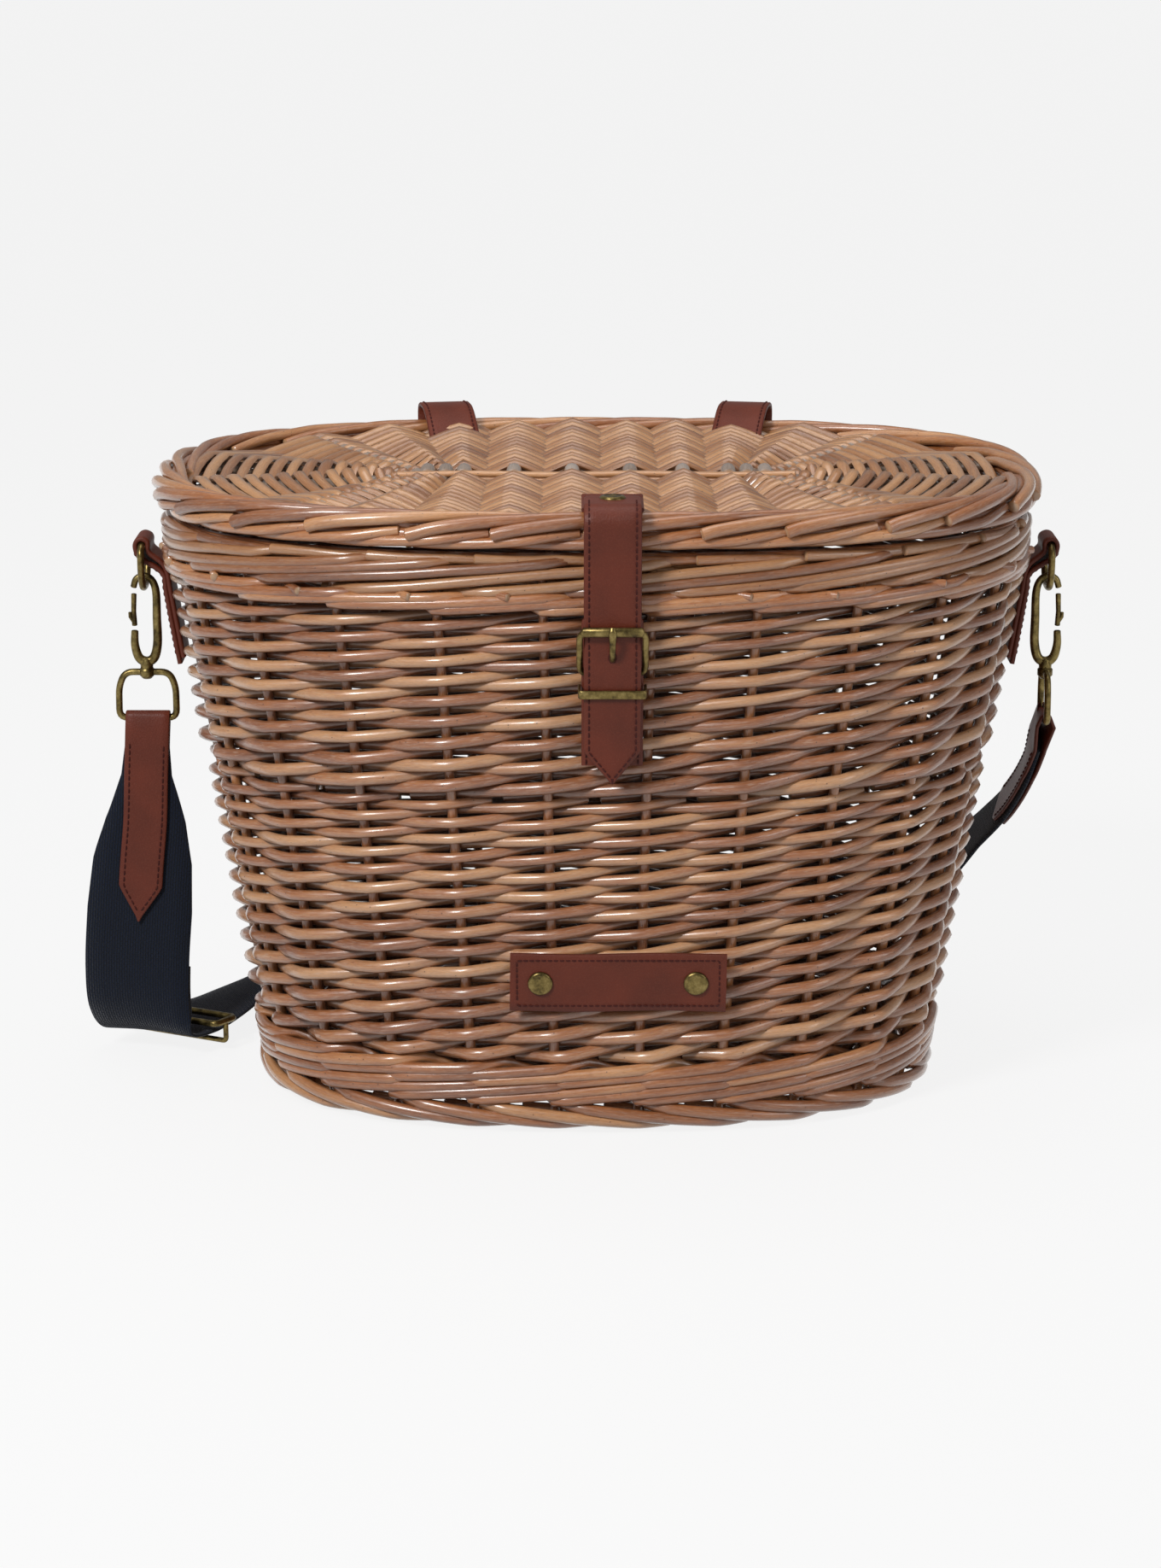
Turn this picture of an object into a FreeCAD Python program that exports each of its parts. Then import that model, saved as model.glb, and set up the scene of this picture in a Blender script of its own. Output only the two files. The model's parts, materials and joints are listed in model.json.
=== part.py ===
"""Wicker handlebar basket with a hinged lid, a buckled closure strap and a shoulder strap.

Millimetres. The origin is the centre of the foot on the surface the basket stands on.
+X is the basket's right seen from the front, +Y is the back and +Z is up.
"""
import FreeCAD, Part
import math
import os
from FreeCAD import Matrix, Placement, Rotation, Vector

doc = FreeCAD.newDocument("handlebar_basket")

DIMENSIONS = {
    # overall form: the oval of the wall's outer face at the floor and at the rim
    "base_half_width": 157, "base_half_depth": 114,
    "rim_half_width": 204, "rim_half_depth": 150,
    "oval_power": 2.5,
    "foot_top": 13, "wale_top": 34, "weave_top": 246, "rim_wale_top": 259, "rim_top": 272,
    "wall_thick": 12, "foot_width": 15, "foot_stand_out": 3,
    "stake_count": 24, "stake_radius": 2.3,
    "base_low": 9, "base_high": 19, "base_stick_radius": 3.4,
    # lid
    "lid_low": 273, "lid_high": 291, "lid_border_width": 19,
    "lid_half_width": 205.5, "lid_half_depth": 153,
    "lid_plate_low": 276, "lid_plate_high": 288, "lid_stick_radius": 3.6,
    # leather and closure
    "leather": 2.2, "gap": 0.3, "strap_width": 25, "closure_x": 6.5,
    "fold_height": 284, "strap_tip": 172, "strap_shoulder": 187,
    "pivot_height": 221, "buckle_bar_height": 242, "buckle_wire": 1.6, "buckle_half_width": 14.2,
    "pivot_out": 5.0, "bar_out": 12.3, "prong_radius": 1.0,
    "keeper_height": 211.5, "keeper_tall": 4,
    "chape_low": 178, "chape_high": 247, "chape_width": 27, "chape_stand_off": 0.8, "chape_corner": 4,
    "prong_slot": 5, "prong_slot_tall": 7.6, "prong_eye_width": 4, "eye_radius": 3.1,
    "loop_width": 8, "loop_spacing": 15, "keeper_metal": 1.4, "patch_length": 31,
    "chape_rivet_low": 184, "chape_rivet_high": 197, "chape_rivet_radius": 4, "rivet_cap_radius": 3.6,
    "label_x": 9.5, "label_width": 97, "label_low": 61, "label_tall": 28,
    "label_rivet_spacing": 69.5, "rivet_radius": 5.5,
    # side tabs and shoulder strap
    "tab_width": 22, "tab_low": 196, "tab_high": 257, "tab_bend": 238,
    "ring_bar_height": 252, "ring_bottom": 231, "ring_half_width": 14.6, "ring_wire": 1.7,
    "hook_top": 236, "hook_low": 194, "hook_half_width": 5.2, "hook_wire": 1.6,
    "loop_top": 190, "loop_low": 168, "loop_half_width": 13.5, "loop_wire": 1.6,
    "hang_x": 211.5, "tab_stand_off": 0.8,
    "stud_radius": 1.5, "stud_head_radius": 2.8, "gate_radius": 1.3, "boss_radius": 3.6,
    "strap_end_width": 21, "strap_end_low": 68,
    "webbing_width": 50, "webbing_thick": 2.0,
    "glide_side_room": 4.4, "glide_face_room": 4.0, "glide_half_length": 7.5,
    "glide_wire": 1.6, "glide_bar": 1.3,
    # rear handlebar straps
    "rear_strap_x": 76, "rear_strap_width": 25, "rear_loop_low": 178, "rear_loop_out": 26,
    "rear_pivot_height": 226, "rear_strap_turn": 11,
}

sheet = doc.addObject("Spreadsheet::Sheet", "dimensions")
for row, (alias, number) in enumerate(DIMENSIONS.items(), start=1):
    sheet.set(f"A{row}", alias)
    sheet.set(f"B{row}", str(number))
    sheet.setAlias(f"B{row}", alias)
doc.recompute()


def size(alias):
    """A driving dimension, read back from the sheet."""
    return float(sheet.get(alias))


sub_parts = []


def keep(feature, label):
    """Names a finished sub-part, so that it is written to its own file."""
    feature.Label = label
    sub_parts.append(feature)
    return feature


def keep_shape(shape, label, placement=None):
    """A sub-part whose shape follows a formula that no parametric feature offers."""
    feature = doc.addObject("Part::Feature", label)
    feature.Shape = shape
    if placement is not None:
        feature.Placement = placement
    return keep(feature, label)


# ---------------------------------------------------------------- parametric primitives

def bind(feature, **expressions):
    for name, expression in expressions.items():
        feature.setExpression(name.replace("__", "."), expression)
    return feature


def solid_box(name, length, width, height, placement):
    """A box centred on X and Y of its placement, standing on its Z."""
    block = doc.addObject("Part::Box", name)
    bind(block, Length=length, Width=width, Height=height)
    doc.recompute()
    centred = Vector(-block.Length.Value / 2, -block.Width.Value / 2, 0)
    block.Placement = placement.multiply(Placement(centred, Rotation()))
    return block


def solid_rod(name, radius, start, end, placement=None):
    """A round rod between two points of a placement's own frame."""
    rod = doc.addObject("Part::Cylinder", name)
    along = Vector(*end) - Vector(*start)
    bind(rod, Radius=radius)
    rod.Height = along.Length
    stand = Placement(Vector(*start), Rotation(Vector(0, 0, 1), along))
    rod.Placement = placement.multiply(stand) if placement else stand
    return rod


def solid_ball(name, radius, centre, placement=None):
    ball = doc.addObject("Part::Sphere", name)
    bind(ball, Radius=radius)
    stand = Placement(Vector(*centre), Rotation())
    ball.Placement = placement.multiply(stand) if placement else stand
    return ball


def joined(pieces, label):
    union = doc.addObject("Part::MultiFuse", label)
    union.Shapes = pieces
    return keep(union, label)


def wire_frame(label, radius, corners, placement, closed=True):
    """A bent metal wire through corner points, with a ball rounding each corner."""
    pieces = []
    count = len(corners)
    for index in range(count if closed else count - 1):
        start, end = corners[index], corners[(index + 1) % count]
        pieces.append(solid_rod(f"{label}_rod_{index}", radius, start, end, placement))
    for index, corner in enumerate(corners):
        pieces.append(solid_ball(f"{label}_ball_{index}", radius, corner, placement))
    return joined(pieces, label)


# ---------------------------------------------------------------- woven shells

def oval_wire(half_width, half_depth, height):
    """The closed oval |x/a|^p + |y/b|^p = 1 at a height, as one periodic curve."""
    power = 2 / size("oval_power")
    points = []
    for step in range(48):
        angle = 2 * math.pi * (step + 0.5) / 48
        c, s = math.cos(angle), math.sin(angle)
        x = math.copysign(abs(c) ** power, c) * half_width
        y = math.copysign(abs(s) ** power, s) * half_depth
        points.append(Vector(x, y, height))
    curve = Part.BSplineCurve()
    curve.interpolate(points, PeriodicFlag=True)
    return Part.Wire([curve.toShape()])


def wall_half_sizes(height):
    """The half width and half depth of the wall's outer face at a height."""
    share = height / size("rim_top")
    half_width = size("base_half_width") + share * (size("rim_half_width") - size("base_half_width"))
    half_depth = size("base_half_depth") + share * (size("rim_half_depth") - size("base_half_depth"))
    return half_width, half_depth


def oval_loft(low, high, inset):
    """A solid between two heights, its outline the wall's outer face moved in by inset."""
    wires = []
    for height in (low, high):
        half_width, half_depth = wall_half_sizes(height)
        wires.append(oval_wire(half_width - inset, half_depth - inset, height))
    return Part.makeLoft(wires, True, True)


def woven_ring(label, low, high, stand_out, thickness):
    outer = oval_loft(low, high, -stand_out)
    inner = oval_loft(low, high, thickness - stand_out)
    return keep_shape(outer.cut(inner), label)


def oval_plate(label, half_width, half_depth, low, high):
    wires = [oval_wire(half_width, half_depth, low), oval_wire(half_width, half_depth, high)]
    return keep_shape(Part.makeLoft(wires, True, True), label)


def oval_point(half_width, half_depth, share):
    """The point at a share of the way round an oval, and its direction angle."""
    power = 2 / size("oval_power")
    angle = 2 * math.pi * share
    c, s = math.cos(angle), math.sin(angle)
    x = math.copysign(abs(c) ** power, c) * half_width
    y = math.copysign(abs(s) ** power, s) * half_depth
    return x, y


def even_shares(count):
    """Shares of the oval's parameter that stand evenly spaced along its edge."""
    fine = [oval_point(size("rim_half_width"), size("rim_half_depth"), i / 720) for i in range(721)]
    length = [0.0]
    for (x0, y0), (x1, y1) in zip(fine, fine[1:]):
        length.append(length[-1] + math.hypot(x1 - x0, y1 - y0))
    shares = []
    for stake in range(count):
        target = length[-1] * (stake + 0.5) / count
        index = next(i for i, done in enumerate(length) if done >= target)
        shares.append((index - 0.5) / 720)
    return shares


def stakes():
    """The upright rods, leaning out with the wall, half way through its thickness."""
    rods = []
    middle = size("wall_thick") / 2
    for share in even_shares(int(size("stake_count"))):
        ends = []
        for height in (size("foot_top"), size("rim_top") - 4):
            half_width, half_depth = wall_half_sizes(height)
            x, y = oval_point(half_width - middle, half_depth - middle, share)
            ends.append(Vector(x, y, height))
        along = ends[1] - ends[0]
        rods.append(Part.makeCylinder(size("stake_radius"), along.Length, ends[0], along))
    return keep_shape(Part.makeCompound(rods), "side_stakes")


LID_STICKS = (-77, -68, -60, -38.3, -11.3, 15.7, 40.3, 60, 68, 77)
BASE_STICKS = (-74, -66, -58, -40, -13, 13, 40, 58, 66, 74)


def stick_row(label, radius, height, long_count, long_half, places, cross_half):
    """Thick sticks through the middle of an oval weave: some along X, some across it."""
    rods = []
    for index in range(long_count):
        y = (index - (long_count - 1) / 2) * 2.1 * radius
        rods.append(Part.makeCylinder(radius, 2 * long_half, Vector(-long_half, y, height), Vector(1, 0, 0)))
    for x in places:
        start = Vector(x, -cross_half, height + radius)
        rods.append(Part.makeCylinder(radius, 2 * cross_half, start, Vector(0, 1, 0)))
    body = rods[0]
    for rod in rods[1:]:
        body = body.fuse(rod)
    return keep_shape(body, label)


wall_lean = math.degrees(math.atan((size("rim_half_depth") - size("base_half_depth")) / size("rim_top")))
LEAN_COS = math.cos(math.radians(wall_lean))


def basket_body():
    woven_ring("foot_border", 0, size("foot_top"), size("foot_stand_out"), size("foot_width"))
    woven_ring("foot_wale", size("foot_top"), size("wale_top"), 1.5, size("wall_thick"))
    woven_ring("side_weave", size("wale_top"), size("weave_top"), 0, size("wall_thick"))
    woven_ring("rim_wale", size("weave_top"), size("rim_wale_top"), 0.5, size("wall_thick"))
    woven_ring("rim_border", size("rim_wale_top"), size("rim_top"), 0.5, size("wall_thick") + 1)
    stakes()
    inside = wall_half_sizes(size("base_high"))
    clear = size("wall_thick")
    oval_plate("base_weave", inside[0] - clear - 2, inside[1] - clear - 2,
               size("base_low"), size("base_high"))
    stick_row("base_sticks", size("base_stick_radius"), (size("base_low") + size("base_high")) / 2 - 1.7,
              3, size("base_half_width") - 24, BASE_STICKS, size("base_half_depth") - 26)


def lid_body():
    half_width, half_depth = size("lid_half_width"), size("lid_half_depth")
    border = size("lid_border_width")
    low, high = size("lid_low"), size("lid_high")
    outer = Part.makeLoft([oval_wire(half_width, half_depth, low),
                           oval_wire(half_width, half_depth, high)], True, True)
    inner = Part.makeLoft([oval_wire(half_width - border, half_depth - border, low),
                           oval_wire(half_width - border, half_depth - border, high)], True, True)
    keep_shape(outer.cut(inner), "lid_border")
    oval_plate("lid_weave", half_width - border, half_depth - border,
               size("lid_plate_low"), size("lid_plate_high"))
    stick_row("lid_sticks", size("lid_stick_radius"), size("lid_plate_low") + 4, 3, half_width - border - 12,
              LID_STICKS, half_depth - border - 8)


# ---------------------------------------------------------------- front closure

# The closure's own frame lies on the front wall: X right, Y into the wall, Z up along it.
front_frame = Placement(Vector(size("closure_x"), -size("base_half_depth"), 0),
                        Rotation(Vector(1, 0, 0), wall_lean))


def along_wall(height):
    """A height above the floor as a distance along the leaning wall."""
    return height / LEAN_COS


def flat_sheet(outline, back, leather):
    """A sheet of leather lying on the wall: an outline in X-Z and the depth of its back face."""
    points = [Vector(x, back, z) for x, z in outline]
    return Part.Face(Part.makePolygon(points + points[:1])).extrude(Vector(0, -leather, 0))


def profile_sheet(outline, half):
    """A sheet of leather seen from its edge: an outline in Y-Z, as wide as twice half in X."""
    points = [Vector(-half, y, z) for y, z in outline]
    return Part.Face(Part.makePolygon(points + points[:1])).extrude(Vector(2 * half, 0, 0))


def bar_eye(radius, bore, width, middle, depth, height):
    """A short tube round a bar along X."""
    start = Vector(middle - width / 2, depth, height)
    tube = Part.makeCylinder(radius, width, start, Vector(1, 0, 0))
    return tube.cut(Part.makeCylinder(bore, width, start, Vector(1, 0, 0)))


def pointed_strap(half, top, shoulder, tip):
    """A strap's outline, square at the top and pointed at the bottom."""
    return [(-half, top), (half, top), (half, shoulder), (0, tip), (-half, shoulder)]


def prong_slot(depth, height):
    """The cut in the leather behind a pivot bar, where the prong's eye turns."""
    wide, tall, deep = size("prong_slot"), size("prong_slot_tall"), 8
    return Part.makeBox(wide, deep, tall, Vector(-wide / 2, depth, height - tall / 2))


def closure():
    leather, gap = size("leather"), size("gap")
    half = size("strap_width") / 2
    wire, prong_radius = size("buckle_wire"), size("prong_radius")
    eye_radius, eye_width = size("eye_radius"), size("prong_eye_width")
    # the chape: a leather plate on the wall behind the buckle
    back = -size("chape_stand_off")
    chape_front = back - leather
    chape_half = size("chape_width") / 2
    low, high = along_wall(size("chape_low")), along_wall(size("chape_high"))
    pivot = along_wall(size("pivot_height"))
    corner = size("chape_corner")
    outline = [(-chape_half, low), (chape_half, low), (chape_half, high - corner),
               (chape_half - corner, high), (corner - chape_half, high), (-chape_half, high - corner)]
    plate = flat_sheet(outline, back, leather)
    keep_shape(plate.cut(prong_slot(chape_front - 1, pivot)), "closure_chape", front_frame)
    bar = along_wall(size("buckle_bar_height"))
    half_frame = size("buckle_half_width")
    pivot_out, bar_out = -size("pivot_out"), -size("bar_out")
    corners = [(-half_frame, pivot_out, pivot), (half_frame, pivot_out, pivot),
               (half_frame, bar_out, bar), (-half_frame, bar_out, bar)]
    wire_frame("buckle_frame", "dimensions.buckle_wire", corners, front_frame)
    # two leather loops hold the pivot bar against the chape, one each side of the prong
    loops = []
    loop_width, foot_tall = size("loop_width"), 4.6
    for middle in (-size("loop_spacing") / 2, size("loop_spacing") / 2):
        foot_corner = Vector(middle - loop_width / 2, pivot_out - 2.4, pivot - foot_tall - 0.6)
        foot = Part.makeBox(loop_width, leather, foot_tall, foot_corner)
        loop = bar_eye(eye_radius, wire + gap, loop_width, middle, pivot_out, pivot).fuse(foot)
        room = Part.makeCylinder(wire + gap, loop_width, foot_corner + Vector(0, 2.4, foot_tall + 0.6),
                                 Vector(1, 0, 0))
        behind_corner = Vector(middle - loop_width, chape_front, pivot - 3 * foot_tall)
        behind = Part.makeBox(2 * loop_width, 2 * leather, 6 * foot_tall, behind_corner)
        loops.append(loop.cut(room).cut(behind))
    keep_shape(Part.makeCompound(loops), "pivot_loops", front_frame)
    # the prong turns on the pivot bar, passes through the strap and rests over the end bar
    prong_start = Vector(0, pivot_out, pivot)
    prong_run = Vector(0, bar_out - wire - prong_radius - 3 * gap, bar + 1) - prong_start
    shank = Part.makeCylinder(prong_radius, prong_run.Length, prong_start, prong_run)
    bore = Part.makeCylinder(wire + 0.1, eye_width, Vector(-eye_width / 2, pivot_out, pivot), Vector(1, 0, 0))
    eye = bar_eye(eye_radius - 0.2, wire + 0.1, eye_width, 0, pivot_out, pivot)
    keep_shape(shank.cut(bore).fuse(eye), "buckle_prong", front_frame)
    # the free strap hangs from the fold, lies on the pivot loops and ends in a point
    strap_back = pivot_out - eye_radius - gap
    outline = pointed_strap(half, along_wall(size("fold_height")), along_wall(size("strap_shoulder")),
                            along_wall(size("strap_tip")))
    slot_half, slot_tall = 1.7, 11.6
    slot = Part.makeBox(2 * slot_half, 8, slot_tall, Vector(-slot_half, strap_back - 5, pivot + 3.6))
    keep_shape(flat_sheet(outline, strap_back, leather).cut(slot), "closure_strap", front_frame)
    # a metal keeper stands on the chape and holds the strap end down
    strap_front = strap_back - leather
    keeper_z = along_wall(size("keeper_height"))
    tall, metal = size("keeper_tall"), size("keeper_metal")
    outside, inside = half + 2.5, half + 1
    bridge = Part.makeBox(2 * outside, gap + metal - strap_front, tall,
                          Vector(-outside, strap_front - gap - metal, keeper_z))
    room = Part.makeBox(2 * inside, gap - strap_front, tall + 2,
                        Vector(-inside, strap_front - gap, keeper_z - 1))
    behind = Part.makeBox(4 * half, 6, tall + 2, Vector(-2 * half, chape_front, keeper_z - 1))
    feet = Part.makeBox(2 * outside, 1.0, tall, Vector(-outside, chape_front - 1.0, keeper_z))
    keep_shape(bridge.cut(room).fuse(feet).cut(behind), "strap_keeper", front_frame)
    heads = []
    for height in (size("chape_rivet_low"), size("chape_rivet_high")):
        z = along_wall(height)
        heads.append(solid_rod(f"chape_rivet_{height:.0f}", "dimensions.chape_rivet_radius",
                               (0, chape_front, z), (0, chape_front - 1.6, z), front_frame))
    joined(heads, "chape_rivets")


def lid_closure():
    """The strap's fixed end, riveted through a leather patch on the lid and bent over its edge."""
    leather = size("leather")
    half = size("strap_width") / 2
    top, fold = size("lid_high"), size("fold_height")
    edge = -size("lid_half_depth")
    x = size("closure_x")
    patch = doc.addObject("Part::Box", "closure_patch")
    bind(patch, Length="dimensions.strap_width + 1", Width="dimensions.patch_length",
         Height="dimensions.leather")
    patch.Placement = Placement(Vector(x - half - 0.5, edge + 1, top), Rotation())
    keep(patch, "closure_patch")
    flat = Part.makeBox(2 * half, 24, leather, Vector(x - half, edge - 2.0, top + leather))
    drop_y = -size("base_half_depth") - fold * math.tan(math.radians(wall_lean))
    bend_low = fold + 1.5
    bend = Part.makeBox(2 * half, leather + 6.2, top + 2 * leather - bend_low,
                        Vector(x - half, drop_y - 9.9, bend_low))
    hollow = Part.makeBox(2 * half + 2, 12, 20, Vector(x - half - 1, edge - 1.6, top + leather - 20))
    keep_shape(flat.fuse(bend).cut(hollow), "closure_strap_end")
    rivet_y, rivet_z = edge + 14, top + 2 * leather
    dome = solid_rod("closure_rivet_dome", "dimensions.rivet_radius",
                     (x, rivet_y, rivet_z), (x, rivet_y, rivet_z + 1.8))
    cap = solid_rod("closure_rivet_cap", "dimensions.rivet_cap_radius",
                    (x, rivet_y, rivet_z), (x, rivet_y, rivet_z + 2.4))
    joined([dome, cap], "closure_rivet")


def label():
    """The plain leather patch on the front, held by two domed rivets."""
    frame = Placement(Vector(size("label_x"), -size("base_half_depth"), 0),
                      Rotation(Vector(1, 0, 0), wall_lean))
    stand_off = 0.6
    back = Vector(0, -stand_off - size("leather") / 2, along_wall(size("label_low")))
    patch = solid_box("label_patch_plate", "dimensions.label_width", "dimensions.leather",
                      "dimensions.label_tall", frame.multiply(Placement(back, Rotation())))
    keep(patch, "label_patch")
    heads = []
    z = along_wall(size("label_low") + size("label_tall") / 2)
    front = -stand_off - size("leather")
    for side in (-1, 1):
        x = side * size("label_rivet_spacing") / 2
        heads.append(solid_rod(f"label_rivet_{side}", "dimensions.rivet_radius",
                               (x, front, z), (x, front - 1.6, z), frame))
    joined(heads, "label_rivets")


# ---------------------------------------------------------------- side tabs, rings and hooks

def ring_tab(side, name):
    """Two layers of leather down the wall, joined by a fold round the ring's straight bar."""
    leather, gap, off = size("leather"), size("gap"), size("tab_stand_off")
    bar_z, width = size("ring_bar_height"), size("tab_width")
    hang = size("hang_x")
    low, bend = size("tab_low"), size("tab_bend")
    wall_low, wall_bend, wall_top = (wall_half_sizes(z)[0] + off for z in (low, bend, size("tab_high")))
    fold_radius = size("ring_wire") + gap + leather
    outline = [(wall_low, low), (wall_low + 2 * leather, low), (wall_bend + 2 * leather, bend),
               (hang - 1.0, bar_z), (hang + 0.6, bar_z + fold_radius - 0.3), (wall_top, bar_z + 2)]
    points = [Vector(side * x, -width / 2, z) for x, z in outline]
    leg = Part.Face(Part.makePolygon(points + points[:1])).extrude(Vector(0, width, 0))
    fold_start = Vector(side * hang, -width / 2, bar_z)
    fold = Part.makeCylinder(fold_radius, width, fold_start, Vector(0, 1, 0))
    bore_start = fold_start - Vector(0, 1, 0)
    bore = Part.makeCylinder(size("ring_wire") + gap, width + 2, bore_start, Vector(0, 1, 0))
    keep_shape(fold.fuse(leg).cut(bore), f"ring_tab_{name}")


def snap_hook(name, frame):
    """A long eye in the X-Z plane with a sprung gate in one side, and a swivel stud below."""
    h = size("hook_half_width")
    top, foot = size("hook_top"), size("hook_low")
    middle = (top + foot) / 2
    bend = 6
    corners = [(h, 0, middle - 4), (h, 0, foot + bend), (h * 0.3, 0, foot + 1), (-h * 0.3, 0, foot + 1),
               (-h, 0, foot + bend), (-h, 0, top - 5), (-h * 0.3, 0, top), (h * 0.6, 0, top - 1),
               (h, 0, top - bend)]
    pieces = []
    for index, (start, end) in enumerate(zip(corners, corners[1:])):
        pieces.append(solid_rod(f"hook_{name}_bow_{index}", "dimensions.hook_wire", start, end, frame))
    for index, corner in enumerate(corners[1:-1]):
        pieces.append(solid_ball(f"hook_{name}_ball_{index}", "dimensions.hook_wire", corner, frame))
    head = size("loop_top") - 2.4
    pieces.append(solid_rod(f"hook_{name}_stud", "dimensions.stud_radius",
                            (0, 0, foot + 1), (0, 0, head), frame))
    pieces.append(solid_rod(f"hook_{name}_head", "dimensions.stud_head_radius",
                            (0, 0, head - 1.6), (0, 0, head), frame))
    joined(pieces, f"hook_{name}")
    gate = solid_rod(f"gate_{name}_bar", "dimensions.gate_radius",
                     (h, 0, middle - 3.6), (h, 0, top - 8.2), frame)
    keep(gate, f"hook_gate_{name}")


def strap_loop(name, frame):
    """A trapezoid loop for the strap, with a boss at its top that the hook's stud turns in."""
    half, top, low = size("loop_half_width"), size("loop_top"), size("loop_low")
    shoulder = 0.75 * half
    corners = [(-shoulder, 0, top), (shoulder, 0, top), (half, 0, low), (-half, 0, low)]
    pieces = []
    for index in range(4):
        pieces.append(solid_rod(f"loop_{name}_rod_{index}", "dimensions.loop_wire",
                                corners[index], corners[(index + 1) % 4], frame))
        pieces.append(solid_ball(f"loop_{name}_ball_{index}", "dimensions.loop_wire", corners[index], frame))
    pieces.append(solid_rod(f"loop_{name}_boss", "dimensions.boss_radius",
                            (0, 0, top - 1.9), (0, 0, top + 1.9), frame))
    solid_loop = doc.addObject("Part::MultiFuse", f"loop_{name}_solid")
    solid_loop.Shapes = pieces
    bore = solid_rod(f"loop_{name}_bore", "dimensions.loop_wire", (0, 0, top - 4), (0, 0, top + 4), frame)
    cut = doc.addObject("Part::Cut", f"strap_loop_{name}")
    cut.Base, cut.Tool = solid_loop, bore
    keep(cut, f"strap_loop_{name}")


def side_hardware(side, name):
    """The tab, ring, snap hook and loop of one side: side is -1 left, +1 right."""
    ring_tab(side, name)
    frame = Placement(Vector(side * size("hang_x"), 0, 0), Rotation())
    half, bar_z, bottom = size("ring_half_width"), size("ring_bar_height"), size("ring_bottom")
    # the ring: a D with its straight bar in the fold, hanging in the Y-Z plane
    wire_frame(f"ring_{name}", "dimensions.ring_wire",
               [(0, -half, bar_z), (0, half, bar_z), (0, half * 0.86, bottom + 6),
                (0, half * 0.45, bottom), (0, -half * 0.45, bottom), (0, -half * 0.86, bottom + 6)], frame)
    snap_hook(name, frame)
    loop_yaw = 0 if side < 0 else 90
    strap_loop(name, frame.multiply(Placement(Vector(0, 0, 0), Rotation(Vector(0, 0, 1), loop_yaw))))


# ---------------------------------------------------------------- shoulder strap

class StrapPoint:
    """A place on the strap's middle line, the strap's width there and the way its width points."""

    def __init__(self, x, y, z, width, across):
        self.middle = Vector(x, y, z)
        self.width = width
        self.across = Vector(*across).normalize()


STRAP_ROUTE = [
    StrapPoint(-212, 0, 160, 20, (1, 0, 0)),
    StrapPoint(-213, 0, 140, 24, (1, 0, 0)),
    StrapPoint(-214, 0, 118, 38, (1, 0, 0)),
    StrapPoint(-216, 0, 98, 47, (1, 0, 0)),
    StrapPoint(-218, 0, 74, 50, (1, 0, 0)),
    StrapPoint(-220, 1, 48, 50, (1, -0.04, 0)),
    StrapPoint(-220, 3, 26, 50, (1, -0.15, -0.03)),
    StrapPoint(-216, 10, 12, 50, (0.93, -0.36, 0.02)),
    StrapPoint(-204, 26, 9.5, 50, (0.74, -0.66, 0.03)),
    StrapPoint(-187, 56, 11, 50, (0.62, -0.76, 0.12)),
    StrapPoint(-168, 88, 17, 50, (0.58, -0.70, 0.42)),
    StrapPoint(-140, 122, 22, 50, (0.42, -0.62, 0.66)),
    StrapPoint(-100, 150, 25, 50, (0.24, -0.50, 0.83)),
    StrapPoint(-50, 166, 27, 50, (0.08, -0.40, 0.91)),
    StrapPoint(0, 172, 28, 50, (0, -0.36, 0.93)),
    StrapPoint(50, 170, 29, 50, (-0.05, -0.36, 0.93)),
    StrapPoint(100, 158, 33, 50, (-0.16, -0.34, 0.92)),
    StrapPoint(139, 139, 43, 50, (-0.30, -0.26, 0.90)),
    StrapPoint(166, 112, 59, 50, (-0.30, -0.05, 0.92)),
    StrapPoint(183, 85, 78, 46, (-0.24, 0.28, 0.90)),
    StrapPoint(194, 58, 100, 38, (-0.16, 0.52, 0.80)),
    StrapPoint(203, 34, 120, 32, (-0.08, 0.72, 0.66)),
    StrapPoint(207, 17, 140, 24, (-0.02, 0.86, 0.48)),
    StrapPoint(210, 6, 157, 20, (0, 0.95, 0.30)),
]


def strap_section(index, route, thickness, width_share=1.0, shift=0.0):
    """The strap's cross-section at one route point: a rectangle square to the route."""
    before = route[max(index - 1, 0)].middle
    after = route[min(index + 1, len(route) - 1)].middle
    along = (after - before).normalize()
    across = route[index].across
    across = (across - along * across.dot(along)).normalize()
    normal = along.cross(across)
    middle = route[index].middle + normal * shift
    half = across * (route[index].width * width_share / 2)
    rise = normal * (thickness / 2)
    corners = [middle - half - rise, middle + half - rise, middle + half + rise, middle - half + rise]
    return Part.makePolygon(corners + corners[:1])


def shoulder_strap():
    thick = size("webbing_thick")
    sections = [strap_section(i, STRAP_ROUTE, thick) for i in range(len(STRAP_ROUTE))]
    keep_shape(Part.makeLoft(sections, True, True), "shoulder_webbing")


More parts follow.
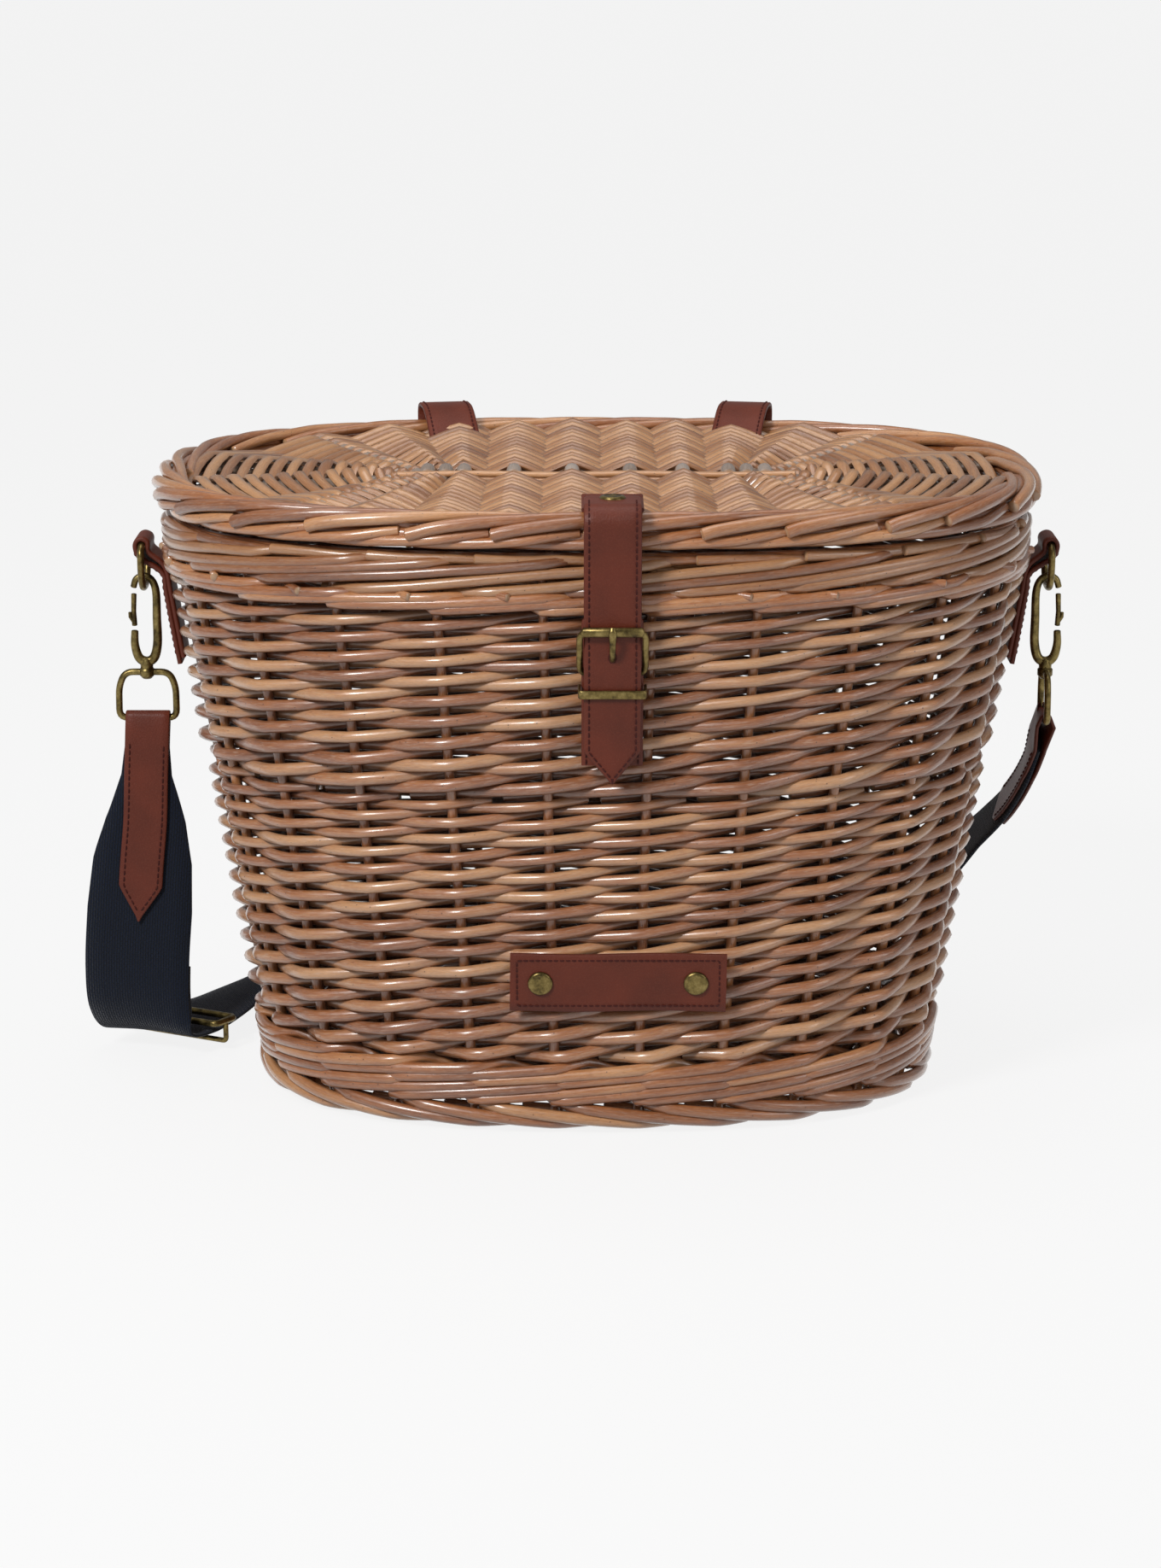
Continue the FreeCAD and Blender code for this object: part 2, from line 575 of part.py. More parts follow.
def strap_end(name, reach, out):
    """The two leather layers sewn over the end of the webbing, folded through the strap loop."""
    route = STRAP_ROUTE if name == "left" else STRAP_ROUTE[::-1]
    hang = out * size("hang_x")
    width = size("strap_end_width")
    thick, leather, gap = size("webbing_thick"), size("leather"), size("gap")
    top = StrapPoint(hang, 0, size("loop_low"), width, (1, 0, 0) if name == "left" else (0, 1, 0))
    points = [top]
    for place in route[:reach]:
        points.append(StrapPoint(*place.middle, width, tuple(place.across)))
    if name == "left":
        last = points[-1]
        low = size("strap_end_low")
        points.append(StrapPoint(last.middle.x, last.middle.y, low, 3, tuple(last.across)))
    shapes = []
    for face in (-1, 1):
        shift = face * (thick / 2 + gap + leather / 2)
        sections = [strap_section(i, points, leather, 1.0, shift) for i in range(len(points))]
        shapes.append(Part.makeLoft(sections, True, True))
    return shapes


def strap_ends():
    for name, reach, out in (("left", 5, -1), ("right", 4, 1)):
        layers = strap_end(name, reach, out)
        gap = size("gap")
        fold_radius = size("webbing_thick") / 2 + gap + size("leather")
        hang = Vector(out * size("hang_x"), 0, size("loop_low"))
        axis = Vector(1, 0, 0) if name == "left" else Vector(0, 1, 0)
        width = size("strap_end_width")
        fold = Part.makeCylinder(fold_radius + 0.6, width, hang - axis * (width / 2), axis)
        bore = Part.makeCylinder(size("loop_wire") + gap, width + 6, hang - axis * (width / 2 + 3), axis)
        body = layers[0].fuse(layers[1]).fuse(fold).cut(bore)
        keep_shape(body, f"strap_end_{name}")


def tri_glide():
    """The adjuster: a frame over the strap and a middle bar under it, joined beside its edges."""
    index = 8
    here, after = STRAP_ROUTE[index], STRAP_ROUTE[index + 1]
    along = (after.middle - STRAP_ROUTE[index - 1].middle).normalize()
    across = (here.across - along * here.across.dot(along)).normalize()
    under = along.cross(across)
    frame = Placement(here.middle, Rotation(across, along, under * -1, "XYZ"))
    half = size("webbing_width") / 2 + size("glide_side_room")
    over = size("webbing_thick") / 2 + size("glide_face_room")
    reach = size("glide_half_length")
    corners = [(-half, -reach, over), (half, -reach, over), (half, reach, over), (-half, reach, over)]
    pieces = []
    for count in range(4):
        pieces.append(solid_rod(f"tri_glide_side_{count}", "dimensions.glide_wire",
                                corners[count], corners[(count + 1) % 4], frame))
        pieces.append(solid_ball(f"tri_glide_corner_{count}", "dimensions.glide_wire", corners[count], frame))
    bar = [(-half, 0, over), (-half, 0, -over), (half, 0, -over), (half, 0, over)]
    for count in range(3):
        pieces.append(solid_rod(f"tri_glide_bar_{count}", "dimensions.glide_bar",
                                bar[count], bar[count + 1], frame))
    for count in (1, 2):
        pieces.append(solid_ball(f"tri_glide_bar_end_{count}", "dimensions.glide_bar", bar[count], frame))
    joined(pieces, "tri_glide")


# ---------------------------------------------------------------- rear handlebar straps

def rear_strap(side, name):
    """A belt over the lid's rear border and down the back, its loop open for a handlebar."""
    leather, gap = size("leather"), size("gap")
    x = side * size("rear_strap_x")
    half = size("rear_strap_width") / 2
    power = size("oval_power")
    # the rear border is further forward away from the middle
    beside = (abs(x) / size("lid_half_width")) ** power
    lid_back = size("lid_half_depth") * (1 - beside) ** (1 / power)
    frame = Placement(Vector(x, lid_back, 0), Rotation(Vector(0, 0, 1), -side * size("rear_strap_turn")))
    # upper part, on the lid: slopes out of the weave, over the border and down its back
    top, hinge = size("lid_high"), size("lid_low")
    behind, arch = 2.3, top + 3.6
    belt = [(-33, top - 6.5), (-20, top + 0.6), (-12, arch), (behind, arch), (behind, hinge + gap),
            (behind + leather, hinge + gap), (behind + leather, arch + 1), (behind + 1, arch + leather),
            (-12.4, arch + leather), (-21, top + 2.6), (-34, top - 4.5)]
    keep_shape(profile_sheet(belt, half), f"hinge_strap_{name}", frame)
    # lower part, on the basket: a loop down the wall and round the handlebar space
    out, low = size("rear_loop_out"), size("rear_loop_low")
    lean = math.tan(math.radians(wall_lean))

    def wall(height, away):
        """A point in front of the leaning wall, at a height and a distance away from it."""
        return (height - hinge) * lean + 2.3 + away, height

    outer = profile_sheet([(behind, hinge - gap), (behind + leather, hinge - gap), (5, 268), (out - 3, 250),
                           (out + 1, 232), (out + 0.5, 200), (out - 7, low - 1), (-9.5, low - 9.5),
                           wall(low - 8.8, 0), wall(262, 0)], half)
    space = profile_sheet([(3.3, 266.2), (out - 5.1, 249.1), (out - 1.2, 231.7), (out - 1.7, 200.5),
                           (out - 9, low + 0.8), wall(low - 6.6, leather), wall(262, leather)], half + 1)
    pivot = size("rear_pivot_height")
    slot = prong_slot(out - 5, pivot)
    keep_shape(outer.cut(space).cut(slot), f"handlebar_strap_{name}", frame)
    # buckle on the loop's outer face
    wire, prong_radius = size("buckle_wire"), size("prong_radius")
    half_frame, eye_radius = size("buckle_half_width"), size("eye_radius")
    face = out + 1 + 2 * gap + wire
    bar = pivot - 22
    corners = [(-half_frame, face, bar), (half_frame, face, bar),
               (half_frame, face, pivot), (-half_frame, face, pivot)]
    wire_frame(f"rear_buckle_{name}", "dimensions.buckle_wire", corners, frame)
    prong_face = face + wire + prong_radius + gap
    prong = Part.makeCylinder(prong_radius, 23.5, Vector(0, prong_face, pivot), Vector(0, 0, -1))
    eye = bar_eye(eye_radius, wire + 0.1, size("prong_eye_width"), 0, face, pivot)
    keep_shape(prong.fuse(eye), f"rear_prong_{name}", frame)
    # two leather loops hold the bar, one each side of the prong
    loops = []
    loop_width = size("loop_width")
    for middle in (-size("loop_spacing") / 2, size("loop_spacing") / 2):
        foot = Part.makeBox(loop_width, 5, 7, Vector(middle - loop_width / 2, out, pivot + leather))
        loop = bar_eye(eye_radius, wire + gap, loop_width, middle, face, pivot).fuse(foot)
        behind_loop = Part.makeBox(2 * loop_width, 12, 30,
                                   Vector(middle - loop_width, out - 10.8, pivot - 15))
        loops.append(loop.cut(behind_loop))
    keep_shape(Part.makeCompound(loops), f"rear_pivot_loops_{name}", frame)


basket_body()
lid_body()
closure()
lid_closure()
label()
for side_sign, side_name in ((-1, "left"), (1, "right")):
    side_hardware(side_sign, side_name)
    rear_strap(side_sign, side_name)
shoulder_strap()
strap_ends()
tri_glide()

doc.recompute()
for thing in doc.Objects:
    if "Invalid" in thing.State or "Error" in thing.State:
        raise RuntimeError(f"{thing.Label} failed: {thing.State}")
for part in sub_parts:
    if part.Shape.isNull() or not part.Shape.isValid():
        raise RuntimeError(f"{part.Label} has no valid shape")

os.makedirs("parts", exist_ok=True)
for part in sub_parts:
    part.Shape.exportStep(f"parts/{part.Label}.step")
    print(f"{part.Label:28s} {len(part.Shape.Solids)} solids {part.Shape.Volume / 1000:9.2f} cm3")
print(len(sub_parts), "sub-parts")
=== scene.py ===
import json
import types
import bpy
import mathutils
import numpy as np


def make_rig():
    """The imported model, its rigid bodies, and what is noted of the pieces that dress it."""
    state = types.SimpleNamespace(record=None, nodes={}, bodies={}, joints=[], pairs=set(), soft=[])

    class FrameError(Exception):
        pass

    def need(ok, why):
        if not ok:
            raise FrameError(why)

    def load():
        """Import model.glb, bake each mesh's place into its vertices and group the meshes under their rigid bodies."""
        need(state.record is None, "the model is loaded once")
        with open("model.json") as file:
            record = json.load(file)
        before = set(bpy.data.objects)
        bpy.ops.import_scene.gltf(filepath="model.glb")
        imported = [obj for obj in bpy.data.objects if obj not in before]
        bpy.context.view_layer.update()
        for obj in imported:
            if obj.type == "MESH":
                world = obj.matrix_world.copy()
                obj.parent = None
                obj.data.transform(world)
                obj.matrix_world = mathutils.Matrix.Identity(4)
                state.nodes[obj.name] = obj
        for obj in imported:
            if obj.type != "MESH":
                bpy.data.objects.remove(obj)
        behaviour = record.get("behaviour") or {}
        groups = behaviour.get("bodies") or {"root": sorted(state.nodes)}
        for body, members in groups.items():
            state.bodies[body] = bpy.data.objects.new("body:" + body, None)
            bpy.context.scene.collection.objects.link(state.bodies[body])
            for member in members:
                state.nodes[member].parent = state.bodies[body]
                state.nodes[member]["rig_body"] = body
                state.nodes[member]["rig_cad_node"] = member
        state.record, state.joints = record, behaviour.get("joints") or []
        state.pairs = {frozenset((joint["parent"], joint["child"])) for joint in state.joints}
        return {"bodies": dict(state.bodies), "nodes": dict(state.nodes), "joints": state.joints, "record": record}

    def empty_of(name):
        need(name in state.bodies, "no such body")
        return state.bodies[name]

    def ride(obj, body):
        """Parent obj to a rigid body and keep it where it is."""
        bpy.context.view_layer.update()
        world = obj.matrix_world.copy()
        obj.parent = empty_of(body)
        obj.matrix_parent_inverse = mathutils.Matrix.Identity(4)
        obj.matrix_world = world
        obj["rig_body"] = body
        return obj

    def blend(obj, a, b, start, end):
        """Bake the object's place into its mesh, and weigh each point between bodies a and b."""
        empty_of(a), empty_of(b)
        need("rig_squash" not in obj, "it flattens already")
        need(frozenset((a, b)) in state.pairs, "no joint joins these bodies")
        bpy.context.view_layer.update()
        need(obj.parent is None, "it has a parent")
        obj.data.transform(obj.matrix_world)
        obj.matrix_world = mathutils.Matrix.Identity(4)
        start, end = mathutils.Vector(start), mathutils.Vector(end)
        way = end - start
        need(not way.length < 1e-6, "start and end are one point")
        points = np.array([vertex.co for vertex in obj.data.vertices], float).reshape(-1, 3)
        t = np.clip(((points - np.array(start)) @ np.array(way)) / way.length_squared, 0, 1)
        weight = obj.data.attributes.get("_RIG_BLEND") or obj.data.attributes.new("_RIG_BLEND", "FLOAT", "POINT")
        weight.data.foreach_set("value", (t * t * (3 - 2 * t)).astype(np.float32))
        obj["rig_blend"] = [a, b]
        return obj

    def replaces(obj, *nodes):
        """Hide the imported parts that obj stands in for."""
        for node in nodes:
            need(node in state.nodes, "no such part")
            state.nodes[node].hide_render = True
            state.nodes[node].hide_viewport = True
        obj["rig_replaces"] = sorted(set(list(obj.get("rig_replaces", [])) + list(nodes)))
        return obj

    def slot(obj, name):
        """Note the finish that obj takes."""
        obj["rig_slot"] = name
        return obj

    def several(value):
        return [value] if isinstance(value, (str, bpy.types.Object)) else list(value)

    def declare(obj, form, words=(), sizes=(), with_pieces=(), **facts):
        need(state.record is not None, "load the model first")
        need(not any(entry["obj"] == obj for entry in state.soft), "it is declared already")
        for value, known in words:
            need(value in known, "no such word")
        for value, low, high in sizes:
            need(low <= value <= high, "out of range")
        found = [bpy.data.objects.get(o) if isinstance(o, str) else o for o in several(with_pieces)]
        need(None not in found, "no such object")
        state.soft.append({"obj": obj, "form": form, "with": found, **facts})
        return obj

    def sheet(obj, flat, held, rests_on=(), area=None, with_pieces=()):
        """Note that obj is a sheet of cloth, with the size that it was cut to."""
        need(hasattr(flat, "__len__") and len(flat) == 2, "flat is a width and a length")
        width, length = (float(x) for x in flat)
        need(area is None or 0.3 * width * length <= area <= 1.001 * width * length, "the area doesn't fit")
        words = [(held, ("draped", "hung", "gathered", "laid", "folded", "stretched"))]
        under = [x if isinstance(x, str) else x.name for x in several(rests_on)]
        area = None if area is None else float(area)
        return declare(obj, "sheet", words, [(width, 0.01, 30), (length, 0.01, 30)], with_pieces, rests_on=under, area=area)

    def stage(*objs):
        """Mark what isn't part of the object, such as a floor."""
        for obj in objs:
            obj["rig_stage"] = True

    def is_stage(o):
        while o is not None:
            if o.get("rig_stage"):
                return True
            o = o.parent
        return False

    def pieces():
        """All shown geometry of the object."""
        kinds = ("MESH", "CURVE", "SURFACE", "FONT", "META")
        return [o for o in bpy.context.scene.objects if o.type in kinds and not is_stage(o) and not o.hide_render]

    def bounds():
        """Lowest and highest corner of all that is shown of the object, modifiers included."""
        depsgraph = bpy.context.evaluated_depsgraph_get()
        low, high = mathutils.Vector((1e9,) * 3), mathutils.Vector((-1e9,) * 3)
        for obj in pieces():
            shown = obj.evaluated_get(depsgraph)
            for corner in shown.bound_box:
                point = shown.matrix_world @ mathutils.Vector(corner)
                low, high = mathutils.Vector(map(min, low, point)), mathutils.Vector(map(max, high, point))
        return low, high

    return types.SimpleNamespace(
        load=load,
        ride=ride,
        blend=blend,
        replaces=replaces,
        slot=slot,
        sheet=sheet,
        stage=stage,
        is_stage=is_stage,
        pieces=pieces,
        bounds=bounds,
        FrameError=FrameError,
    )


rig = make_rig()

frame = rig.load()
cad_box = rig.bounds()

import json
import math
import random

import bpy
import numpy as np
from mathutils import Matrix, Vector

MM = 0.001
POWER = 2.5              # the ovals are |x/a|^2.5 + |y/b|^2.5 = 1
STAKES = 24
RIM_TOP = 272.0
STAKE_INSET = 7.1        # the stakes' middle line, in from the wall's face
WEAVE_LOW, WEAVE_HIGH = 36.5, 247.5
UP = np.array([0, 0, 1.0])


# ------------------------------------------------------------------ ovals and walls

def oval(half_width, half_depth, share):
    """Points on an oval at shares of the way round, counter-clockwise from +X."""
    angle = 2 * np.pi * np.asarray(share, float)
    c, s = np.cos(angle), np.sin(angle)
    return (np.sign(c) * np.abs(c) ** (2 / POWER) * half_width,
            np.sign(s) * np.abs(s) ** (2 / POWER) * half_depth)


def even_table(half_width, half_depth):
    """Even shares of the oval's edge beside the parameters that give them."""
    fine = np.linspace(0, 1, 1441)
    x, y = oval(half_width, half_depth, fine)
    done = np.concatenate([[0], np.cumsum(np.hypot(np.diff(x), np.diff(y)))])
    return done / done[-1], fine


RIM_TABLE = even_table(204, 150)


def share_of(turn):
    """The oval's parameter at an even share of the way round its edge."""
    turn = np.asarray(turn, float)
    whole = np.floor(turn)
    return whole + np.interp(turn - whole, *RIM_TABLE)


def wall_halves(z):
    """The wall's half width and half depth at a height."""
    share = np.asarray(z, float) / RIM_TOP
    return 157 + 47 * share, 114 + 36 * share


def round_oval(halves, turn, z, inset):
    """Points and outward normals on an oval wall, in millimetres."""
    a, b = halves
    share = share_of(turn)
    x, y = oval(a, b, share)
    nx = np.sign(x) * np.abs(x / a) ** (POWER - 1) / a
    ny = np.sign(y) * np.abs(y / b) ** (POWER - 1) / b
    size = np.hypot(nx, ny)
    nx, ny = nx / size, ny / size
    points = np.stack([x - nx * inset, y - ny * inset, np.broadcast_to(z, x.shape)], -1)
    return points, np.stack([nx, ny, np.zeros_like(nx)], -1)


def at_stake(u, z, inset):
    """A place in the wall: u counts stakes round the basket, inset is into the wall."""
    return round_oval(wall_halves(z), (np.asarray(u) + 0.5) / STAKES, z, inset)


# ------------------------------------------------------------------ mesh makers

def unit(rows):
    """Each row at length one."""
    return rows / np.linalg.norm(rows, axis=1, keepdims=True)


def run_along(line):
    """The distance from the line's start to each of its points."""
    return np.concatenate([[0], np.cumsum(np.linalg.norm(np.diff(line, axis=0), axis=1))])


def square_to(along, out):
    """The part of out that is square to the line, at length one."""
    up = out - along * (out * along).sum(1, keepdims=True)
    return up / np.maximum(np.linalg.norm(up, axis=1, keepdims=True), 1e-9)


def painted_shade(shade, angle):
    """How much painted shade each point of a rod gets: along it, and on the side turned away from out, which faces
    into the wall on the walls and down on the mats.
    """
    inner = np.clip((0.25 - np.cos(angle)) / 1.25, 0, 1)
    return np.clip(shade[:, None] + 0.55 * inner[None, :], 0, 1).ravel()


class Rods:
    """Gathers many round rods into one mesh, with a run along each rod and a tone for each."""

    def __init__(self, seed):
        self.co, self.faces, self.uv, self.tone, self.end, self.shade = [], [], [], [], [], []
        self.total = 0
        self.chance = random.Random(seed)

    def add(self, points, out, radius, sides=8, flat=1.0, closed=False, tone=None,
            cap=(True, True), shade=None):
        """One rod along the points; flat squeezes it along out, and shade darkens it with painted shade."""
        points, out = np.asarray(points, float), np.asarray(out, float)
        n = len(points)
        radius = np.broadcast_to(np.asarray(radius, float), (n,))
        if closed:
            along = np.roll(points, -1, 0) - np.roll(points, 1, 0)
        else:
            along = np.gradient(points, axis=0)
        along = unit(along)
        up = square_to(along, np.broadcast_to(out, points.shape))
        across = np.cross(along, up)
        angle = np.arange(sides) * 2 * np.pi / sides
        ring = (up[:, None] * np.cos(angle)[None, :, None] * flat
                + across[:, None] * np.sin(angle)[None, :, None])
        co = points[:, None] + ring * radius[:, None, None]
        step = np.linalg.norm(np.diff(points, axis=0, append=points[:1]), axis=1)
        run = np.concatenate([[0], np.cumsum(step)])[:n]
        start = self.total
        tone = self.chance.random() if tone is None else tone
        self.co.append(co.reshape(-1, 3))
        self.tone.append(np.full(n * sides, tone))
        self.end.append(np.zeros(n * sides))
        # painted shade: these values darken the rod's colour in the material
        dark = np.zeros(n * sides) if shade is None else painted_shade(shade + np.zeros(n), angle)
        self.shade.append(dark)
        self.total += n * sides
        rows = n if closed else n - 1
        shift = self.chance.random() * 50
        for i in range(rows):
            j = (i + 1) % n
            u0, u1 = run[i] + shift, run[i] + step[i] + shift
            for k in range(sides):
                m = (k + 1) % sides
                self.faces.append((start + i * sides + k, start + j * sides + k,
                                   start + j * sides + m, start + i * sides + m))
                v0, v1 = k / sides, (k + 1) / sides
                self.uv += [(u0, v0), (u1, v0), (u1, v1), (u0, v1)]
        if not closed:
            for index, sign, wanted in ((0, -1, cap[0]), (n - 1, 1, cap[1])):
                if wanted:
                    self.close(start + index * sides, points[index], along[index] * sign,
                               ring[index] * radius[index], radius[index], sides, tone, sign)

    def close(self, first, centre, along, ring, radius, sides, tone, sign):
        """A slightly domed cut end."""
        inner = centre + ring * 0.72 + along * radius * 0.22
        start = self.total
        self.co.append(np.vstack([inner, centre + along * radius * 0.26]))
        self.tone.append(np.full(sides + 1, tone))
        self.end.append(np.ones(sides + 1))
        self.shade.append(np.zeros(sides + 1))
        self.total += sides + 1
        for k in range(sides):
            m = (k + 1) % sides
            quad = (first + k, first + m, start + m, start + k)
            tri = (start + k, start + m, start + sides)
            self.faces += [quad, tri] if sign > 0 else [quad[::-1], tri[::-1]]
            self.uv += [(0, 0)] * 7

    def mesh(self, name, material):
        mesh = bpy.data.meshes.new(name)
        mesh.from_pydata((np.vstack(self.co) * MM).tolist(), [], self.faces)
        layer = mesh.uv_layers.new(name="UVMap")
        layer.data.foreach_set("uv", np.asarray(self.uv, np.float32).ravel())
        for label, values in (("tone", self.tone), ("cut_end", self.end), ("shade", self.shade)):
            attribute = mesh.attributes.new(label, "FLOAT", "POINT")
            attribute.data.foreach_set("value", np.concatenate(values).astype(np.float32))
        mesh.polygons.foreach_set("use_smooth", [True] * len(mesh.polygons))
        mesh.update()
        mesh.set_sharp_from_angle(angle=math.radians(58))
        mesh.materials.append(material)
        piece = bpy.data.objects.new(name, mesh)
        bpy.context.scene.collection.objects.link(piece)
        return piece


def finish_piece(piece, body, slot, *nodes):
    """Fixes a piece to its body and gives its material slot and the CAD nodes it replaces."""
    if nodes:
        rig.replaces(piece, *nodes)
    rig.slot(piece, slot)
    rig.ride(piece, body)
    return piece


def swing(phase):
    """+1 in front of a stake, -1 behind the next: part wave, part straight runs with a kink."""
    phase = np.asarray(phase, float) % 2
    straight = np.where(phase < 1, 1 - 2 * phase, 2 * phase - 3)
    return 0.3 * np.cos(np.pi * phase) + 0.7 * straight


def jitter(chance, count, size):
    """Slow, small bends along a rod."""
    knots = [chance.uniform(-size, size) for _ in range(count // 5 + 3)]
    return np.interp(np.linspace(0, len(knots) - 1, count), range(len(knots)), knots)


# ------------------------------------------------------------------ materials

class Shader:
    """A small helper for building node materials."""

    def __init__(self, name):
        self.material = bpy.data.materials.new(name)
        self.material.use_nodes = True
        self.tree = self.material.node_tree
        self.tree.nodes.clear()
        self.out = self.tree.nodes.new("ShaderNodeOutputMaterial")
        self.skin = self.tree.nodes.new("ShaderNodeBsdfPrincipled")
        self.link(self.skin.outputs[0], self.out.inputs[0])

    def link(self, a, b):
        self.tree.links.new(a, b)

    def node(self, kind, inputs=None, **settings):
        made = self.tree.nodes.new("ShaderNode" + kind)
        for key, value in settings.items():
            setattr(made, key, value)
        for key, value in (inputs or {}).items():
            if hasattr(value, "is_output"):
                self.link(value, made.inputs[key])
            else:
                made.inputs[key].default_value = value
        return made

    def math(self, operation, a, b=0.0):
        return self.node("Math", {0: a, 1: b}, operation=operation).outputs[0]

    def ramp(self, value, stops):
        made = self.node("ValToRGB", {0: value})
        ramp = made.color_ramp
        while len(ramp.elements) < len(stops):
            ramp.elements.new(0.5)
        for element, (place, colour) in zip(ramp.elements, stops):
            element.position = place
            element.color = (*colour, 1)
        return made.outputs[0]

    def mix(self, factor, a, b, blend="MIX"):
        made = self.node("Mix", data_type="RGBA", blend_type=blend)
        for socket, value in ((0, factor), (6, a), (7, b)):
            if hasattr(value, "is_output"):
                self.link(value, made.inputs[socket])
            else:
                made.inputs[socket].default_value = value if socket == 0 else (*value, 1)
        return made.outputs[2]

    def surface(self, **values):
        for key, value in values.items():
            socket = self.skin.inputs[key.replace("_", " ")]
            if hasattr(value, "is_output"):
                self.link(value, socket)
            else:
                socket.default_value = value

    def bump(self, height, strength, distance):
        made = self.node("Bump", {"Strength": strength, "Distance": distance, "Height": height})
        self.link(made.outputs[0], self.skin.inputs["Normal"])


def srgb(r, g, b):
    return tuple(((v / 255 + 0.055) / 1.055) ** 2.4 if v > 10 else v / 255 / 12.92 for v in (r, g, b))


def willow(name, light, middle, dark, pale=0.35, rough=0.38):
    """Varnished willow: tone differs from rod to rod, streaks and pores run along each rod, and painted shade from the
    shade attribute darkens parts of it.
    """
    s = Shader(name)
    tone = s.node("Attribute", attribute_name="tone").outputs["Fac"]
    cut = s.node("Attribute", attribute_name="cut_end").outputs["Fac"]
    uv = s.node("UVMap", uv_map="UVMap").outputs[0]
    spot = s.node("TexCoord").outputs["Object"]
    spread = s.node("Mapping", {"Vector": uv, "Scale": (0.035, 5.0, 1.0)}).outputs[0]
    streak = s.node("TexNoise", {"Vector": spread, "Scale": 2.2, "Detail": 5.0,
                                 "Roughness": 0.65}).outputs["Fac"]
    fine = s.node("Mapping", {"Vector": uv, "Scale": (0.25, 26.0, 1.0)}).outputs[0]
    grain = s.node("TexNoise", {"Vector": fine, "Scale": 1.6, "Detail": 3.0}).outputs["Fac"]
    patch = s.node("TexNoise", {"Vector": spot, "Scale": 26.0, "Detail": 3.0}).outputs["Fac"]
    value = s.math("ADD", s.math("MULTIPLY", tone, 0.46), s.math("MULTIPLY", streak, 0.62))
    value = s.math("ADD", value, s.math("MULTIPLY", patch, 0.42))
    value = s.math("SUBTRACT", value, 0.26)
    colour = s.ramp(value, [(0.08, dark), (0.42, middle), (0.72, light), (1.0, light)])
    colour = s.mix(s.ramp(grain, [(0.35, (0, 0, 0)), (0.7, (0.28, 0.28, 0.28))]), colour, dark)
    silver = s.node("TexNoise", {"Vector": spread, "Scale": 5.5, "Detail": 2.0}).outputs["Fac"]
    veil = s.ramp(silver, [(0.5, (0, 0, 0)), (0.75, (pale, pale, pale))])
    colour = s.mix(veil, colour, srgb(196, 170, 150))
    sparse = s.node("Mapping", {"Vector": uv, "Scale": (0.13, 2.4, 1)}).outputs[0]
    specks = s.node("TexVoronoi", {"Vector": sparse, "Scale": 2.0}).outputs["Distance"]
    pores = s.ramp(specks, [(0.05, (0.75, 0.75, 0.75)), (0.12, (0, 0, 0))])
    colour = s.mix(pores, colour, srgb(58, 32, 20))
    # painted shade: the shade attribute mixes the colour towards dark brown
    shade = s.node("Attribute", attribute_name="shade").outputs["Fac"]
    colour = s.mix(s.math("MULTIPLY", shade, 0.85), colour, srgb(38, 19, 10))
    colour = s.mix(cut, colour, srgb(178, 140, 104))
    gloss = s.math("ADD", s.math("MULTIPLY", grain, 0.16), rough - 0.06)
    s.surface(Base_Color=colour, Roughness=gloss, Coat_Weight=1.0, Coat_Roughness=0.2,
              Specular_IOR_Level=0.6)
    s.bump(s.math("ADD", grain, s.math("MULTIPLY", streak, 0.8)), 0.35, 0.0004)
    return s.material


WILLOW = willow("willow", srgb(212, 154, 102), srgb(172, 106, 58), srgb(104, 54, 26), pale=0.3)
WILLOW_WALL = willow("willow_wall", srgb(208, 156, 110), srgb(170, 108, 66), srgb(106, 56, 32), pale=0.42)
STICK = willow("stick_bark", srgb(184, 122, 72), srgb(152, 92, 50), srgb(92, 52, 26))
GREY_STICK = willow("grey_stick", srgb(176, 160, 148), srgb(150, 132, 118), srgb(104, 84, 70))
SPLIT = willow("split_willow", srgb(204, 150, 100), srgb(172, 116, 68), srgb(118, 68, 36),
               pale=0.3, rough=0.32)


# ------------------------------------------------------------------ the wall's French randing

def randing():
    """Two sets of rods, one to each stake, that go up the wall in front of one stake and behind the next."""
    rods = Rods(11)
    chance = random.Random(5)
    z, levels, sets = WEAVE_LOW, [], []
    for count, thick, thin in ((27, 5.35, 3.95), (19, 5.25, 4.0)):
        first = len(levels)
        for k in range(count):
            step = thick + (thin - thick) * k / (count - 1)
            levels.append((z, step))
            z += step
        sets.append((first, len(levels)))
    scale = (WEAVE_HIGH - WEAVE_LOW) / (z - WEAVE_LOW)
    levels = [(WEAVE_LOW + (h - WEAVE_LOW) * scale, d * scale) for h, d in levels]
    samples = 7
    for first, last in sets:
        heights = [h for h, _ in levels[first:last]]
        depths = [d for _, d in levels[first:last]]
        for rod in range(STAKES):
            count = (last - first - 1) * samples + 1
            k = np.linspace(0, last - first - 1, count)
            k = np.concatenate([[-0.45, -0.3, -0.15], k, [last - first - 0.8, last - first - 0.6]])
            place = np.clip(k, 0, last - first - 1)
            centre = np.interp(place, range(last - first), heights) + (k - place) * 3.0
            size = np.interp(place, range(last - first), depths)
            radius = size * 0.572 * (1 + jitter(chance, len(k), 0.06))
            u = rod + k + first
            side = swing(k + first)
            # the odd stakes start a rod behind, so both ends lie inside the wall
            ends = np.minimum(1, np.minimum((k + 0.45) / 0.6, (last - first - 0.6 - k) / 0.6))
            side = np.where(ends < 1, side * ends - (1 - ends), side)
            reach = 2.35 + radius * 0.93
            z_line = centre + jitter(chance, len(k), 0.42) + 0.25 * np.sin(k * 2.1 + rod)
            line, out = at_stake(u, z_line, STAKE_INSET - side * reach)
            # painted shade: each rod is darker where it passes behind a stake
            rods.add(line, out, radius, sides=9, shade=np.clip(0.25 - side, 0, 1) * 0.55)
    return finish_piece(rods.mesh("wall_randing", WILLOW_WALL), "basket", "willow", "side_weave")


